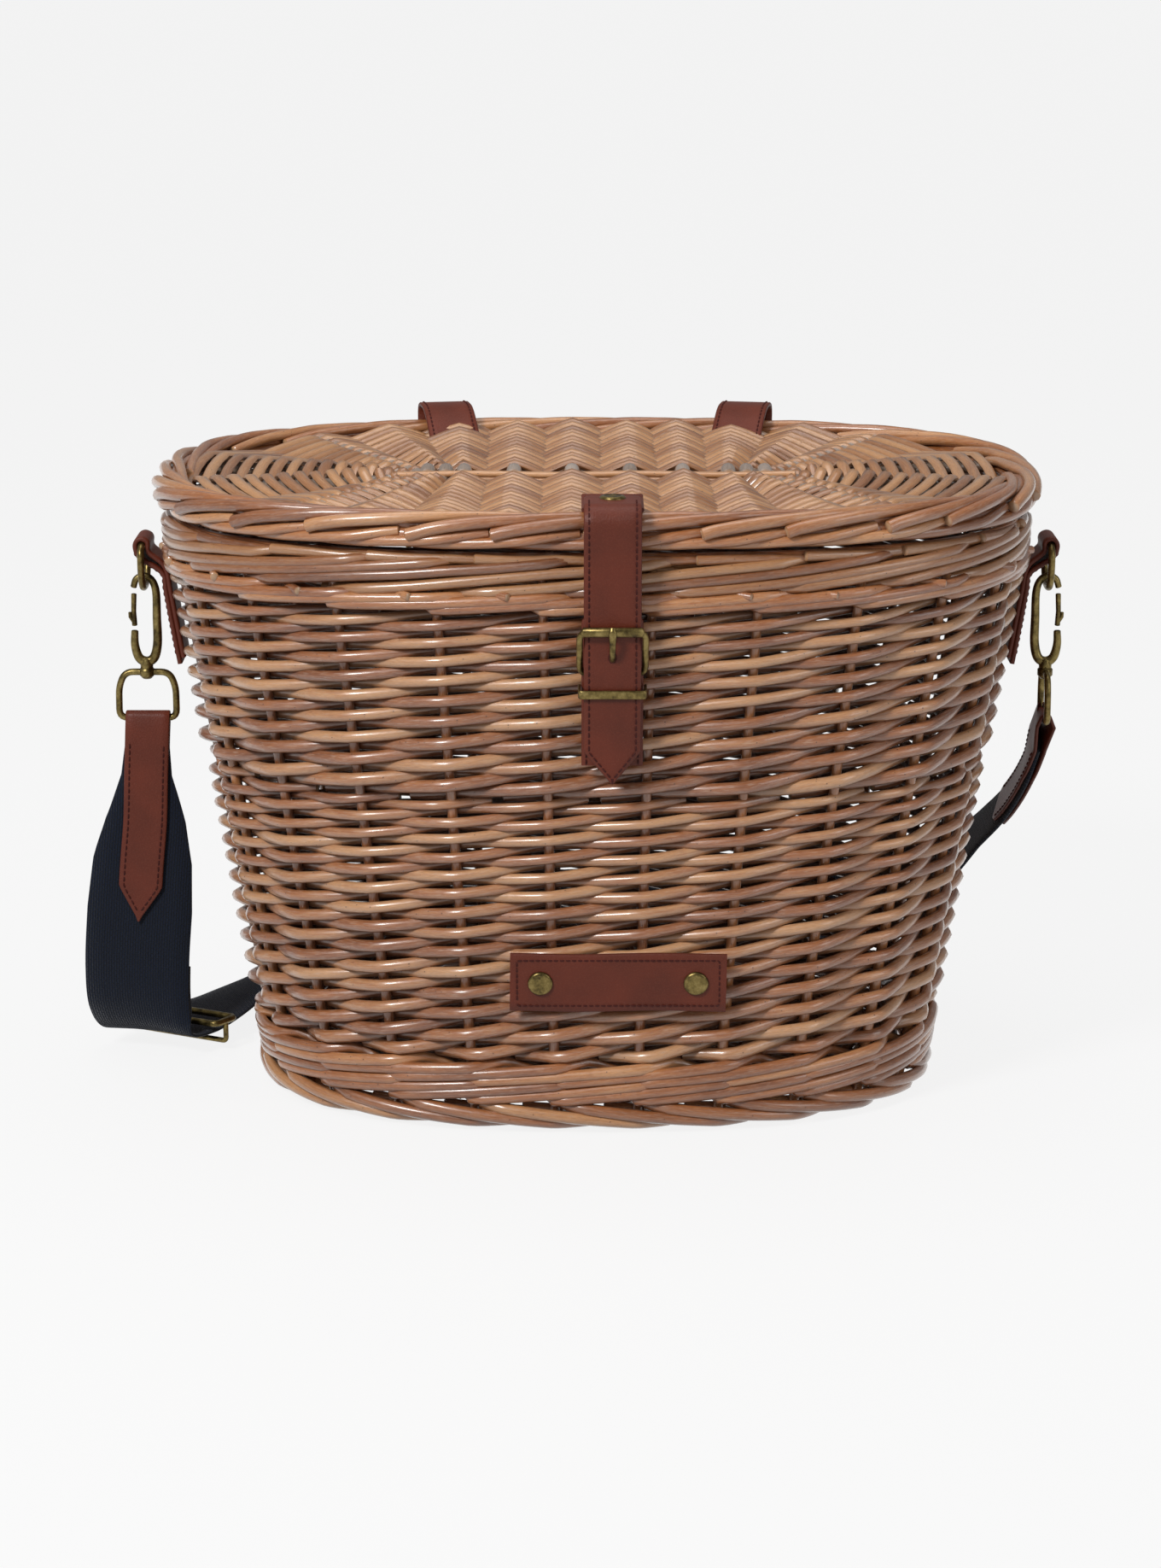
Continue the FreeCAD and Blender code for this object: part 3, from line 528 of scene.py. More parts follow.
def stake_rods():
    rods = Rods(21)
    for stake in range(STAKES):
        z = np.linspace(6, 264, 14)
        line, out = at_stake(np.full(14, stake), z, STAKE_INSET)
        rods.add(line, out, np.linspace(2.5, 2.15, 14), sides=10)
    return finish_piece(rods.mesh("side_stake_rods", STICK), "basket", "willow_sticks", "side_stakes")


def wale(rods, low, high, radius, rows, stand_out, seed):
    """Three-rod waling: each rod passes in front of two stakes and behind one."""
    chance = random.Random(seed)
    count = STAKES * 8
    u = np.arange(count) / 8.0
    rise = (high - low - 2 * radius) / rows
    for row in range(rows):
        base = low + radius + row * rise
        for rod in range(3):
            phase = ((u - rod + row) % 3) / 3
            front = np.clip(np.sin(np.pi * np.clip((phase + 0.14) / 0.98, 0, 1)) * 2.1, 0, 1) * 2 - 1
            back_down = np.where(phase > 0.8, (1 - phase) / 0.2, 1)
            z = base + rise * 1.02 * np.clip(phase * 1.25, 0, 1) * back_down
            knots = np.array([chance.uniform(-0.5, 0.5) for _ in range(STAKES)])
            z = z + np.interp(u, range(STAKES), knots, period=STAKES)
            line, out = at_stake(u, z, STAKE_INSET - stand_out - front * (2.3 + radius * 0.9))
            # painted shade: each rod is darker where it runs behind a stake
            rods.add(line, out, radius * (1 + 0.06 * np.sin(u * 1.7 + rod)), sides=9, closed=True,
                     shade=np.clip(-front, 0, 1) * 0.4)


def butts(rods, z, inset, length, radius, seed, count=STAKES, droop=-1.5):
    """Short cut rod ends that poke out of the weave."""
    chance = random.Random(seed)
    for index in range(count):
        u = index * STAKES / count + 0.5 + chance.uniform(-0.14, 0.14)
        height = z + chance.uniform(-1.2, 1.2)
        steps = np.linspace(0, 1, 4)
        line, _ = at_stake(u + steps * 0.30, height + droop * steps, inset - length * steps)
        rods.add(line, UP, radius * chance.uniform(0.85, 1.1), sides=9)


def foot():
    """The waling above the foot, and the border whose rods roll down and under."""
    rods = Rods(31)
    wale(rods, 12.5, 35, 2.75, 2, 0.6, 7)
    finish_piece(rods.mesh("foot_waling", WILLOW), "basket", "willow", "foot_wale")
    rods = Rods(33)
    chance = random.Random(8)
    for index in range(STAKES):
        steps = np.linspace(0, 1, 26)
        u = index + 0.1 + steps * 2.3
        z = 13.2 - 10.2 * steps ** 0.85 + chance.uniform(-0.5, 0.5) * (1 - steps)
        tuck = 7.5 * np.clip((steps - 0.8) / 0.2, 0, 1) ** 1.5
        outwards = 0.9 + 2.0 * np.sin(np.pi * np.clip(steps * 1.1, 0, 1)) - tuck
        outwards = outwards - 3.0 * np.clip(1 - steps / 0.12, 0, 1)
        radius = 3.0 - 0.5 * steps
        z = np.maximum(z, radius + 0.05)
        line, out = at_stake(u, z, 3.2 - outwards)
        # painted shade: darker at the start, where the rod comes out of the wall, and a little darker all along
        rods.add(line, out, radius, sides=10, shade=0.14 + np.clip(1 - steps / 0.15, 0, 1) * 0.4)
    for index in range(STAKES):
        steps = np.linspace(0, 1, 22)
        u = index + 0.6 + steps * 2.6
        z = 9.5 - 5.5 * steps
        line, out = at_stake(u, np.maximum(z, 3.0), 9.5 + 2.0 * steps)
        rods.add(line, out, 2.9 - 0.4 * steps, sides=8)
    finish_piece(rods.mesh("foot_border_rods", WILLOW), "basket", "willow", "foot_border")


def rim():
    """The waling under the rim, and the border that the stakes are bent into."""
    rods = Rods(41)
    wale(rods, 244.6, 255.5, 2.5, 1, 0.9, 17)
    butts(rods, 254.5, 9.0, 9.6, 2.0, 18)
    finish_piece(rods.mesh("rim_waling", WILLOW), "basket", "willow", "rim_wale")
    rods = Rods(43)
    chance = random.Random(44)
    # each stake bends down and runs to the right outside three others
    for index in range(STAKES):
        steps = np.linspace(0, 1, 34)
        u = index + chance.uniform(-0.12, 0.12) + steps * 3.5
        z = 253.5 + 15.6 * steps ** (0.8 + chance.uniform(0, 0.35)) + jitter(chance, 34, 0.5)
        tuck = 6.0 * np.clip(1 - steps / 0.12, 0, 1) + 7.0 * np.clip((steps - 0.88) / 0.12, 0, 1)
        line, out = at_stake(u, z, 2.7 + tuck + 1.4 * steps)
        # painted shade: the border rods are darkened all along
        rods.add(line, out, 2.6 - 0.3 * steps, sides=10, shade=0.34)
    # inner runs close the border behind them
    for index in range(STAKES):
        steps = np.linspace(0, 1, 26)
        u = index + 0.4 + steps * 2.6
        z = 269.3 - 1.5 * steps + jitter(chance, 26, 0.4)
        line, out = at_stake(u, z, 5.2 + 6.0 * steps)
        # painted shade: darkened all along, more towards the inner end
        rods.add(line, out, 2.5 - 0.3 * steps, sides=8, shade=0.34 + 0.2 * steps)
    for index in range(STAKES):
        steps = np.linspace(0, 1, 26)
        u = index + 0.2 + steps * 4.0
        z = 266.5 - 11.5 * steps
        line, out = at_stake(u, z, 10.6 - 0.5 * steps)
        rods.add(line, out, 2.5 - 0.3 * steps, sides=8)
    turn = np.linspace(0, STAKES, 144, endpoint=False)
    line, out = at_stake(turn, np.full(144, 269.2), 8.6)
    rods.add(line, out, 2.7, sides=8, closed=True)
    finish_piece(rods.mesh("rim_border_rods", WILLOW), "basket", "willow", "rim_border")


# ------------------------------------------------------------------ oval mats: the lid and the base

def crossings(core_half, singles, groups, outer, fan_angles):
    """The sticks of an oval mat in order round it: (inner point, outer point) pairs."""
    a, b = outer

    def edge(x, sign):
        return sign * b * (1 - min(abs(x) / a, 1) ** POWER) ** (1 / POWER)

    def edge_at(angle):
        c, s = math.cos(angle), math.sin(angle)
        reach = (abs(c / a) ** POWER + abs(s / b) ** POWER) ** (-1 / POWER)
        return np.array([c * reach, s * reach])

    back = []
    for x in singles:
        back.append((np.array([x, 3.0]), np.array([x, edge(x, 1)])))
    for side in (1, -1):
        for x, target in groups:
            back.append((np.array([side * x, 3.0]), np.array([side * target, edge(target, 1)])))
    ends = []
    for side in (1, -1):
        for angle in fan_angles:
            start = np.array([side * (core_half + 6), 3.0 * math.sin(angle)])
            point = edge_at(angle)
            ends.append((start, np.array([side * point[0], point[1]])))
    front = [(np.array([p[0], -p[1]]), np.array([q[0], -q[1]])) for p, q in back]
    every = back + front + ends
    return sorted(every, key=lambda pair: math.atan2(pair[1][1] / b, pair[1][0] / a) % (2 * math.pi))


def spline(nodes, samples):
    """A smooth closed curve through the nodes."""
    n = len(nodes)
    t = np.arange(samples) / samples
    pieces = []
    for i in range(n):
        p0, p1, p2, p3 = (nodes[(i + j - 1) % n] for j in range(4))
        tt = t[:, None]
        pieces.append(0.5 * (2 * p1 + (p2 - p0) * tt + (2 * p0 - 5 * p1 + 4 * p2 - p3) * tt ** 2
                             + (3 * p1 - p0 - 3 * p2 + p3) * tt ** 3))
    return np.vstack(pieces)


def mat(rods, sticks, loops, first, last, middle, wave, radius, flat, samples, seed):
    """Rods that go round and round an oval mat, over one stick and under the next."""
    chance = random.Random(seed)
    for loop in range(loops):
        share = first + (last - first) * loop / (loops - 1)
        nodes = np.array([p + (q - p) * share for p, q in sticks])
        gap = np.linalg.norm(np.roll(nodes, -1, 0) - nodes, axis=1)
        room = np.minimum(np.roll(gap, 1), gap)
        lift = np.minimum(wave, 0.42 * room)
        line = spline(nodes, samples)
        steps = np.arange(len(line)) / samples
        high = np.interp(steps, range(len(nodes)), lift, period=len(nodes))
        z = middle(line) + swing(steps + loop) * high + chance.uniform(-0.25, 0.25)
        points = np.column_stack([line, z])
        wobble = 1 + 0.07 * np.sin(steps * 0.9 + loop * 2.3)
        # painted shade: darker where the rod passes under a stick, and a little darker all along
        rods.add(points, UP, radius * wobble, sides=8, flat=flat, closed=True,
                 shade=0.15 + np.clip(-swing(steps + loop), 0, 1) * 0.3)


def lid_level(line):
    """The middle of the lid's weave: it rises a little towards the back border."""
    return 281.2 + 2.6 * np.clip(line[:, 1] / 134, 0, 1) ** 1.3


def lid_mat():
    singles = [-38.3, -11.3, 15.7, 40.3]
    groups = [(61.5, 68), (70, 104), (78.5, 137)]
    sticks = crossings(80, singles, groups, (188, 135.5), (0.62, 0.2, -0.2, -0.62))
    rods = Rods(51)
    mat(rods, sticks, 26, 0.075, 0.985, lid_level, 5.6, 2.75, 0.64, 7, 52)
    finish_piece(rods.mesh("lid_mat", SPLIT), "lid", "split_willow", "lid_weave")
    rods = Rods(53)
    for inner, outer in sticks:
        steps = np.linspace(-0.02, 1.03, 12)[:, None]
        line = inner + (outer - inner) * steps
        single = abs(inner[0]) < 50 or abs(abs(inner[0]) - 70) < 12
        size = 3.4 if single else 2.9
        z = lid_level(line) + 0.3
        rods.add(np.column_stack([line, z]), UP, size, sides=10)
    for x in singles + [s * g[0] for s in (-1, 1) for g in groups]:
        y = np.linspace(-3.5, 9.5, 6)
        line = np.column_stack([np.full(6, x), y, 285.0 - 0.03 * (y - 3) ** 2])
        rods.add(line, UP, 3.6, sides=12)
    finish_piece(rods.mesh("lid_stick_rods", GREY_STICK), "lid", "willow_sticks", "lid_sticks")
    rods = Rods(54)
    for y, z in ((-6.4, 284.8), (-6.8, 279.4), (-2.2, 279.6), (2.8, 279.4), (7.6, 279.6)):
        x = np.linspace(-92, 92, 30)
        line = np.column_stack([x, np.full(30, y), z + 0.3 * np.sin(x * 0.08)])
        rods.add(line, UP, 2.7, sides=10, flat=0.6)
    finish_piece(rods.mesh("lid_long_splits", SPLIT), "lid", "split_willow")


def lid_border():
    """Rolled border: rods start at the outer face, roll over the top and tuck in at the inner edge."""
    rods = Rods(61)
    chance = random.Random(62)
    count, radius = 28, 2.95
    halves = (205.5, 153.0)
    centre = 9.6

    def place(turn, angle, grow=1.0):
        """A place on the border's rounded section: angle 0 is outwards, 90 degrees is up."""
        wide, tall = 9.5 - radius, 8.8 - radius
        side = np.sign(np.cos(angle)) * np.abs(np.cos(angle)) ** 0.8 * wide * grow
        lift = np.sign(np.sin(angle)) * np.abs(np.sin(angle)) ** 0.8 * tall * grow
        line, out = round_oval(halves, turn, 281.9 + lift, centre - side)
        normal = out * np.cos(angle)[:, None] + UP * np.sin(angle)[:, None]
        return line, normal

    # cut ends show on the front, then each rod runs right, over the top and in
    for index in range(count):
        steps = np.linspace(0, 1, 30)
        turn = (index + chance.uniform(-0.14, 0.14) + steps * 3.0) / count
        first = chance.uniform(-14, 0)
        angle = np.radians(first + (164 - first) * steps ** 0.95 + jitter(chance, 30, 3.0))
        line, normal = place(turn, angle, 1.03 - 0.08 * steps + 0.02 * np.sin(steps * 9))
        # painted shade: a little darker all along
        rods.add(line, normal, radius * (1.0 - 0.24 * steps), sides=10, shade=0.13)
    for index in range(count):
        steps = np.linspace(0, 1, 26)
        turn = (index + 0.45 + chance.uniform(-0.14, 0.14) + steps * 2.5) / count
        angle = np.radians(-128 + 120 * steps + jitter(chance, 26, 3.0))
        grow = 1.0 - 0.55 * np.clip((steps - 0.78) / 0.22, 0, 1) - 0.25 * np.clip(1 - steps / 0.12, 0, 1)
        line, normal = place(turn, angle, grow)
        rods.add(line, normal, radius * (0.9 - 0.1 * steps), sides=9)
    # the core that the rods roll round
    for grow, angle in ((0.45, 200), (0.4, -60), (0.35, 90)):
        turn = np.linspace(0, 1, 144, endpoint=False)
        line, normal = place(turn, np.full(144, np.radians(angle)), grow)
        rods.add(line, normal, radius, sides=8, closed=True, tone=0.1)
    finish_piece(rods.mesh("lid_border_rods", WILLOW), "lid", "willow", "lid_border")


def base_mat():
    singles = [-40.0, -13.0, 13.0, 40.0]
    groups = [(58, 62), (66, 92), (74, 118)]
    sticks = crossings(76, singles, groups, (143, 100), (0.62, 0.2, -0.2, -0.62))
    rods = Rods(71)
    level = lambda line: np.full(len(line), 14.4)
    mat(rods, sticks, 19, 0.05, 0.985, level, 3.6, 2.7, 0.85, 6, 72)
    finish_piece(rods.mesh("base_mat", WILLOW), "basket", "split_willow", "base_weave")
    rods = Rods(73)
    for inner, outer in sticks:
        steps = np.linspace(-0.02, 1.05, 8)[:, None]
        line = inner + (outer - inner) * steps
        rods.add(np.column_stack([line, level(line)]), UP, 2.8, sides=8)
    for y in (-4.5, 4.5):
        x = np.linspace(-100, 100, 12)
        rods.add(np.column_stack([x, np.full(12, y), np.full(12, 14.6)]), UP, 3.0, sides=8)
    finish_piece(rods.mesh("base_stick_rods", STICK), "basket", "willow_sticks", "base_sticks")


randing()
stake_rods()
foot()
rim()
base_mat()
lid_mat()
lid_border()


# ------------------------------------------------------------------ leather, brass and webbing

def leather(name):
    """Smooth brown leather with a fine pressed grain and darker painted edges."""
    s = Shader(name)
    edge = s.node("Attribute", attribute_name="cut_end").outputs["Fac"]
    spot = s.node("TexCoord").outputs["Object"]
    patch = s.node("TexNoise", {"Vector": spot, "Scale": 45.0, "Detail": 4.0}).outputs["Fac"]
    grain = s.node("TexVoronoi", {"Vector": spot, "Scale": 1300.0}).outputs["Distance"]
    soft = s.node("TexNoise", {"Vector": spot, "Scale": 700.0, "Detail": 2.0}).outputs["Fac"]
    colour = s.ramp(patch, [(0.3, srgb(88, 35, 19)), (0.7, srgb(105, 43, 25))])
    colour = s.mix(s.ramp(grain, [(0.0, (0.25, 0.25, 0.25)), (0.5, (0, 0, 0))]), colour, srgb(130, 68, 48))
    colour = s.mix(edge, colour, srgb(92, 40, 25))
    s.surface(Base_Color=colour, Roughness=0.5, Specular_IOR_Level=0.3, Coat_Weight=0.04,
              Coat_Roughness=0.35)
    s.bump(s.math("ADD", grain, s.math("MULTIPLY", soft, 0.7)), 0.3, 0.0003)
    return s.material


def brass(name):
    """Antique brass: olive-brown metal with dark patina."""
    s = Shader(name)
    spot = s.node("TexCoord").outputs["Object"]
    patina = s.node("TexNoise", {"Vector": spot, "Scale": 210.0, "Detail": 5.0,
                                 "Roughness": 0.7}).outputs["Fac"]
    colour = s.ramp(patina, [(0.32, srgb(60, 50, 30)), (0.52, srgb(118, 102, 60)),
                             (0.75, srgb(160, 142, 92))])
    rough = s.math("ADD", s.math("MULTIPLY", patina, 0.25), 0.22)
    s.surface(Base_Color=colour, Metallic=0.92, Roughness=rough)
    s.bump(patina, 0.25, 0.0003)
    return s.material


def thread(name):
    s = Shader(name)
    s.surface(Base_Color=(*srgb(66, 20, 14), 1), Roughness=0.7, Specular_IOR_Level=0.25)
    return s.material


def webbing(name):
    """Navy cotton webbing with a small staggered weave."""
    s = Shader(name)
    uv = s.node("UVMap", uv_map="UVMap").outputs[0]
    place = s.node("Mapping", {"Vector": uv, "Scale": (0.4, 0.4, 1.0)}).outputs[0]
    weave = s.node("TexBrick", {"Vector": place, "Scale": 1.0, "Mortar Size": 0.13, "Mortar Smooth": 1.0,
                                "Brick Width": 1.0, "Row Height": 0.5, "Color1": (1, 1, 1, 1),
                                "Color2": (0.7, 0.7, 0.7, 1), "Mortar": (0, 0, 0, 1)}).outputs["Color"]
    fuzz = s.node("TexNoise", {"Vector": s.node("TexCoord").outputs["Object"], "Scale": 900.0}).outputs["Fac"]
    colour = s.mix(weave, srgb(6, 9, 16), srgb(13, 22, 40))
    colour = s.mix(s.math("MULTIPLY", fuzz, 0.3), colour, srgb(26, 38, 60))
    s.surface(Base_Color=colour, Roughness=0.9, Specular_IOR_Level=0.2, Sheen_Weight=0.15)
    s.bump(s.math("ADD", weave, s.math("MULTIPLY", fuzz, 0.4)), 0.7, 0.0006)
    return s.material


LEATHER = leather("brown_leather")
BRASS = brass("antique_brass_metal")
THREAD = thread("stitching_thread")
WEBBING = webbing("navy_webbing")
LEAN = math.atan(36.0 / RIM_TOP)   # how far the front wall leans out from upright


def curve(points, samples=8):
    """A smooth open curve through the points."""
    p = np.asarray(points, float)
    p = np.vstack([2 * p[0] - p[1], p, 2 * p[-1] - p[-2]])
    t = (np.arange(samples) / samples)[:, None]
    rows = []
    for i in range(1, len(p) - 2):
        p0, p1, p2, p3 = p[i - 1], p[i], p[i + 1], p[i + 2]
        rows.append(0.5 * (2 * p1 + (p2 - p0) * t + (2 * p0 - 5 * p1 + 4 * p2 - p3) * t ** 2
                           + (3 * p1 - p0 - 3 * p2 + p3) * t ** 3))
    return np.vstack(rows + [p[-2][None]])


def rounded(corners, radius, closed=True, steps=6):
    """A line through the corners with each corner rounded."""
    p = np.asarray(corners, float)
    rows, n = [], len(p)
    for i in range(n):
        if not closed and i in (0, n - 1):
            rows.append(p[i][None])
            continue
        before, after = p[i - 1] - p[i], p[(i + 1) % n] - p[i]
        a, b = np.linalg.norm(before), np.linalg.norm(after)
        start = p[i] + before / a * min(radius, a * 0.49)
        end = p[i] + after / b * min(radius, b * 0.49)
        t = np.linspace(0, 1, steps)[:, None]
        rows.append(start * (1 - t) ** 2 + 2 * p[i] * t * (1 - t) + end * t ** 2)
    return np.vstack(rows)


def placed(origin, turn_x=0.0, turn_z=0.0):
    """A function that carries local millimetres into the row frame."""
    matrix = Matrix.Translation(Vector(origin)) @ Matrix.Rotation(turn_z, 4, "Z")
    grid = np.array(matrix @ Matrix.Rotation(turn_x, 4, "X"))

    def carry(points, direction=False):
        points = np.asarray(points, float)
        moved = points @ grid[:3, :3].T
        return moved if direction else moved + grid[:3, 3]

    return carry


class Straps(Rods):
    """Flat bands with softened edges, beside the round rods."""

    def band(self, points, out, half, thick, edge=0.5, tone=0.5):
        """One strap along the points, facing out; last keeps its lines for the stitches."""
        points = np.asarray(points, float)
        n = len(points)
        half = np.broadcast_to(np.asarray(half, float), (n,))
        along = unit(np.gradient(points, axis=0))
        up = square_to(along, np.broadcast_to(np.asarray(out, float), points.shape))
        across = np.cross(along, up)
        t = thick / 2
        row = np.linspace(-1, 1, 7)
        profile = [(a, 0, t, 0) for a in row] + [(1, edge, t * 0.5, 1), (1, edge, -t * 0.5, 1)]
        profile += [(-a, 0, -t, 0) for a in row] + [(-1, -edge, -t * 0.5, 1), (-1, -edge, t * 0.5, 1)]
        sides = len(profile)
        co, mark, v = [], [], []
        inner = np.maximum(half - edge, 0.02)
        for a, shift, rise, edged in profile:
            co.append(points + across * (a * inner + shift)[:, None] + up * rise)
            mark.append(np.full(n, edged))
            v.append(a * inner + shift)
        co, mark, v = np.stack(co, 1), np.stack(mark, 1), np.stack(v, 1)
        run = run_along(points)
        start = self.total
        self.co.append(co.reshape(-1, 3))
        self.end.append(mark.reshape(-1).astype(float))
        self.tone.append(np.full(n * sides, tone))
        self.shade.append(np.zeros(n * sides))
        self.total += n * sides
        for i in range(n - 1):
            for k in range(sides):
                m = (k + 1) % sides
                a, b = start + i * sides, start + (i + 1) * sides
                self.faces.append((a + k, b + k, b + m, a + m))
                self.uv += [(run[i], v[i, k]), (run[i + 1], v[i + 1, k]),
                            (run[i + 1], v[i + 1, m]), (run[i], v[i, m])]
        for i, turn in ((0, 1), (n - 1, -1)):
            ring = [start + i * sides + k for k in range(sides)][::turn]
            self.faces.append(tuple(ring))
            self.uv += [(0, 0)] * sides
        self.last = (points, up, across, half, t)

    def turned(self, profile, centre, axis, sides=28):
        """A turned button: (radius, height) pairs swept round an axis."""
        axis = np.asarray(axis, float) / np.linalg.norm(axis)
        side = np.cross(axis, [0, 0, 1.0] if abs(axis[2]) < 0.9 else [1.0, 0, 0])
        side /= np.linalg.norm(side)
        other = np.cross(axis, side)
        angle = np.arange(sides) * 2 * np.pi / sides
        start = self.total
        for radius, height in profile:
            ring = np.asarray(centre) + axis * height + radius * (
                side * np.cos(angle)[:, None] + other * np.sin(angle)[:, None])
            self.co.append(ring)
            self.tone.append(np.full(sides, 0.5))
            self.end.append(np.zeros(sides))
            self.shade.append(np.zeros(sides))
        self.total += sides * len(profile)
        for i in range(len(profile) - 1):
            for k in range(sides):
                m = (k + 1) % sides
                a, b = start + i * sides, start + (i + 1) * sides
                self.faces.append((a + k, a + m, b + m, b + k))
                self.uv += [(0, 0)] * 4
        self.faces.append(tuple(start + (len(profile) - 1) * sides + k for k in range(sides)))
        self.uv += [(0, 0)] * sides


def stitch_line(rods, line, out, pitch=3.1, length=2.15, radius=0.42):
    """Short sunken stitches along a line on a surface."""
    line, out = np.asarray(line, float), np.broadcast_to(np.asarray(out, float), np.shape(line))
    run = run_along(line)
    place = 0.6
    while place + length < run[-1]:
        at = np.linspace(place, place + length, 4)
        point = np.stack([np.interp(at, run, line[:, k]) for k in range(3)], -1)
        face = np.stack([np.interp(at, run, out[:, k]) for k in range(3)], -1)
        rise = np.array([-0.25, 0.12, 0.12, -0.25])[:, None]
        rods.add(point + face * rise, face, radius, sides=6, cap=(False, False))
        place += pitch


def edge_stitches(rods, band, inset=2.3, first=0.0, last=1.0):
    """Stitches along both edges of a band, on its outer face."""
    points, up, across, half, t = band
    n = len(points)
    part = slice(int(round(first * (n - 1))), int(round(last * (n - 1))) + 1)
    for side in (-1, 1):
        reach = np.maximum(half - inset, 0.0) * side
        line = points + across * reach[:, None] + up * t
        stitch_line(rods, line[part], up[part])


def stitched(strap, seams, name, body, node, side=""):
    """A leather piece and the stitches on it."""
    finish_piece(strap.mesh(f"{name}_leather{side}", LEATHER), body, "leather", node)
    finish_piece(seams.mesh(f"{name}_seams{side}", THREAD), body, "leather")


def metal(rods, name, body, node):
    finish_piece(rods.mesh(name, BRASS), body, "antique_brass", node)


FRONT = placed((6.5, -114, 0), turn_x=LEAN)
FACING = FRONT([[0, -1, 0]], True)[0]


def on_front(y, z):
    """A place on the closure's middle line: y out from the wall, z a height above the floor."""
    return FRONT([[0, y, z / math.cos(LEAN)]])[0]


def closure():
    """The strap from its tip up the wall and over the lid's edge, and what it is fixed to."""
    heights = [172, 176, 180, 183.5, 187, 195, 205, 215, 225, 235, 245, 255, 265, 275, 282]
    over = [(-160.9, 288.2), (-158.6, 292.2), (-154.6, 294.2), (-148, 294.3), (-140, 294.3), (-132, 294.3)]
    line = curve([on_front(-9.5, z) for z in heights] + [(6.5, y, z) for y, z in over], 5)
    out = np.cross(np.gradient(line, axis=0), [1.0, 0, 0])
    out = np.where((out * np.array([0, -1.0, 1.0])).sum(1, keepdims=True) < 0, -out, out)
    run = run_along(line)
    half = np.interp(run, [0, 15.2, 200], [0.4, 12.4, 12.4])
    back = run[-1] - run
    half = np.minimum(half, 12.4 - np.maximum(0, 2.4 - back) ** 2 * 0.35)
    strap, seams = Straps(81), Rods(82)
    strap.band(line, out, half, 2.0)
    edge_stitches(seams, strap.last, 2.2, 0.0, 0.93)
    pieces = (strap.mesh("closure_strap_leather", LEATHER), seams.mesh("closure_strap_seams", THREAD))
    for piece in pieces:
        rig.slot(piece, "leather")
    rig.replaces(pieces[0], "closure_strap_end", "closure_strap")
    for piece in pieces:
        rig.blend(piece, "lid", "closure_strap", (0.0065, -0.1607, 0.2875), (0.0065, -0.1600, 0.2805))
    # painted shade: a dark flat slot in the thread colour stands in for the hole's shadowed inside
    hole = Rods(83)
    slot = [on_front(-10.62, z) for z in (227.6, 229.2, 230.8, 232.4)]
    hole.add(slot, FACING, [1.1, 1.9, 1.9, 1.1], flat=0.12, cap=(False, False))
    finish_piece(hole.mesh("closure_strap_hole_shade", THREAD), "closure_strap", "leather")
    # the patch under the strap's end
    strap, seams = Straps(84), Rods(85)
    patch = [(-152, 292.3), (-146, 292.2), (-136, 292.1), (-127, 292.2), (-121, 293.4)]
    strap.band(curve([(6.5, y, z) for y, z in patch], 5), UP, 13.4, 1.9)
    edge_stitches(seams, strap.last, 1.7, 0.5, 1.0)
    stitched(strap, seams, "closure_patch", "lid", "closure_patch")
    button = Straps(86)
    cap = [(5.6, -0.4), (5.6, 0.5), (5.0, 1.1), (3.9, 1.3), (3.5, 1.0), (2.6, 0.9), (1.2, 1.4), (0.3, 1.6)]
    button.turned(cap, (6.5, -139, 295.3), UP)
    metal(button, "closure_rivet_cap", "lid", "closure_rivet")
    # the chape on the wall
    strap, seams = Straps(87), Rods(88)
    heights = np.linspace(178, 247, 24)
    half = np.minimum(13.4, 9.6 + np.maximum(0, 247 - heights) * 1.2)
    strap.band([on_front(-1.9, z) for z in heights], FACING, half, 2.0)
    edge_stitches(seams, strap.last, 2.0)
    stitched(strap, seams, "closure_chape", "basket", "closure_chape")
    strap = Straps(89)
    pivot = 221 / math.cos(LEAN)
    for middle in (-7.5, 7.5):
        turn = np.radians(np.linspace(250, -60, 22))
        eye = [(middle, -5.0 + 2.55 * math.cos(a), pivot + 2.55 * math.sin(a)) for a in turn]
        eye = [(middle, -3.1, pivot - 5.0)] + eye
        line = FRONT(eye)
        out = line - FRONT([[middle, -5.0, pivot]])[0]
        strap.band(line, out, 3.8, 0.9, edge=0.3)
    finish_piece(strap.mesh("pivot_loop_leather", LEATHER), "basket", "leather", "pivot_loops")
    button = Straps(90)
    for z in (184, 197):
        button.turned([(4, -0.2), (4, 0.6), (3.2, 1.2), (1.0, 1.5)], on_front(-3.0, z), FACING)
    metal(button, "chape_rivet_heads", "basket", "chape_rivets")


def buckle(carry, pivot_out, bar_out, pivot, bar, seed):
    """A rounded rectangular frame with a broad end bar, in its own frame's millimetres."""
    rods = Rods(seed)
    line = rounded([(-14.2, pivot_out, pivot), (14.2, pivot_out, pivot),
                    (14.2, bar_out, bar), (-14.2, bar_out, bar)], 4.2)
    out = np.array([0, 1.0 if pivot_out > 0 else -1.0, 0])
    rods.add(carry(line), carry([out], True)[0], 1.45, sides=14, closed=True)
    lift = 0.25 if pivot_out > 0 else -0.25
    end = [(x, bar_out + lift, bar) for x in (-13.4, -12.6, 0, 12.6, 13.4)]
    rods.add(carry(end), carry([out], True)[0], [1.4, 2.2, 2.2, 2.2, 1.4], sides=14, flat=0.78)
    return rods


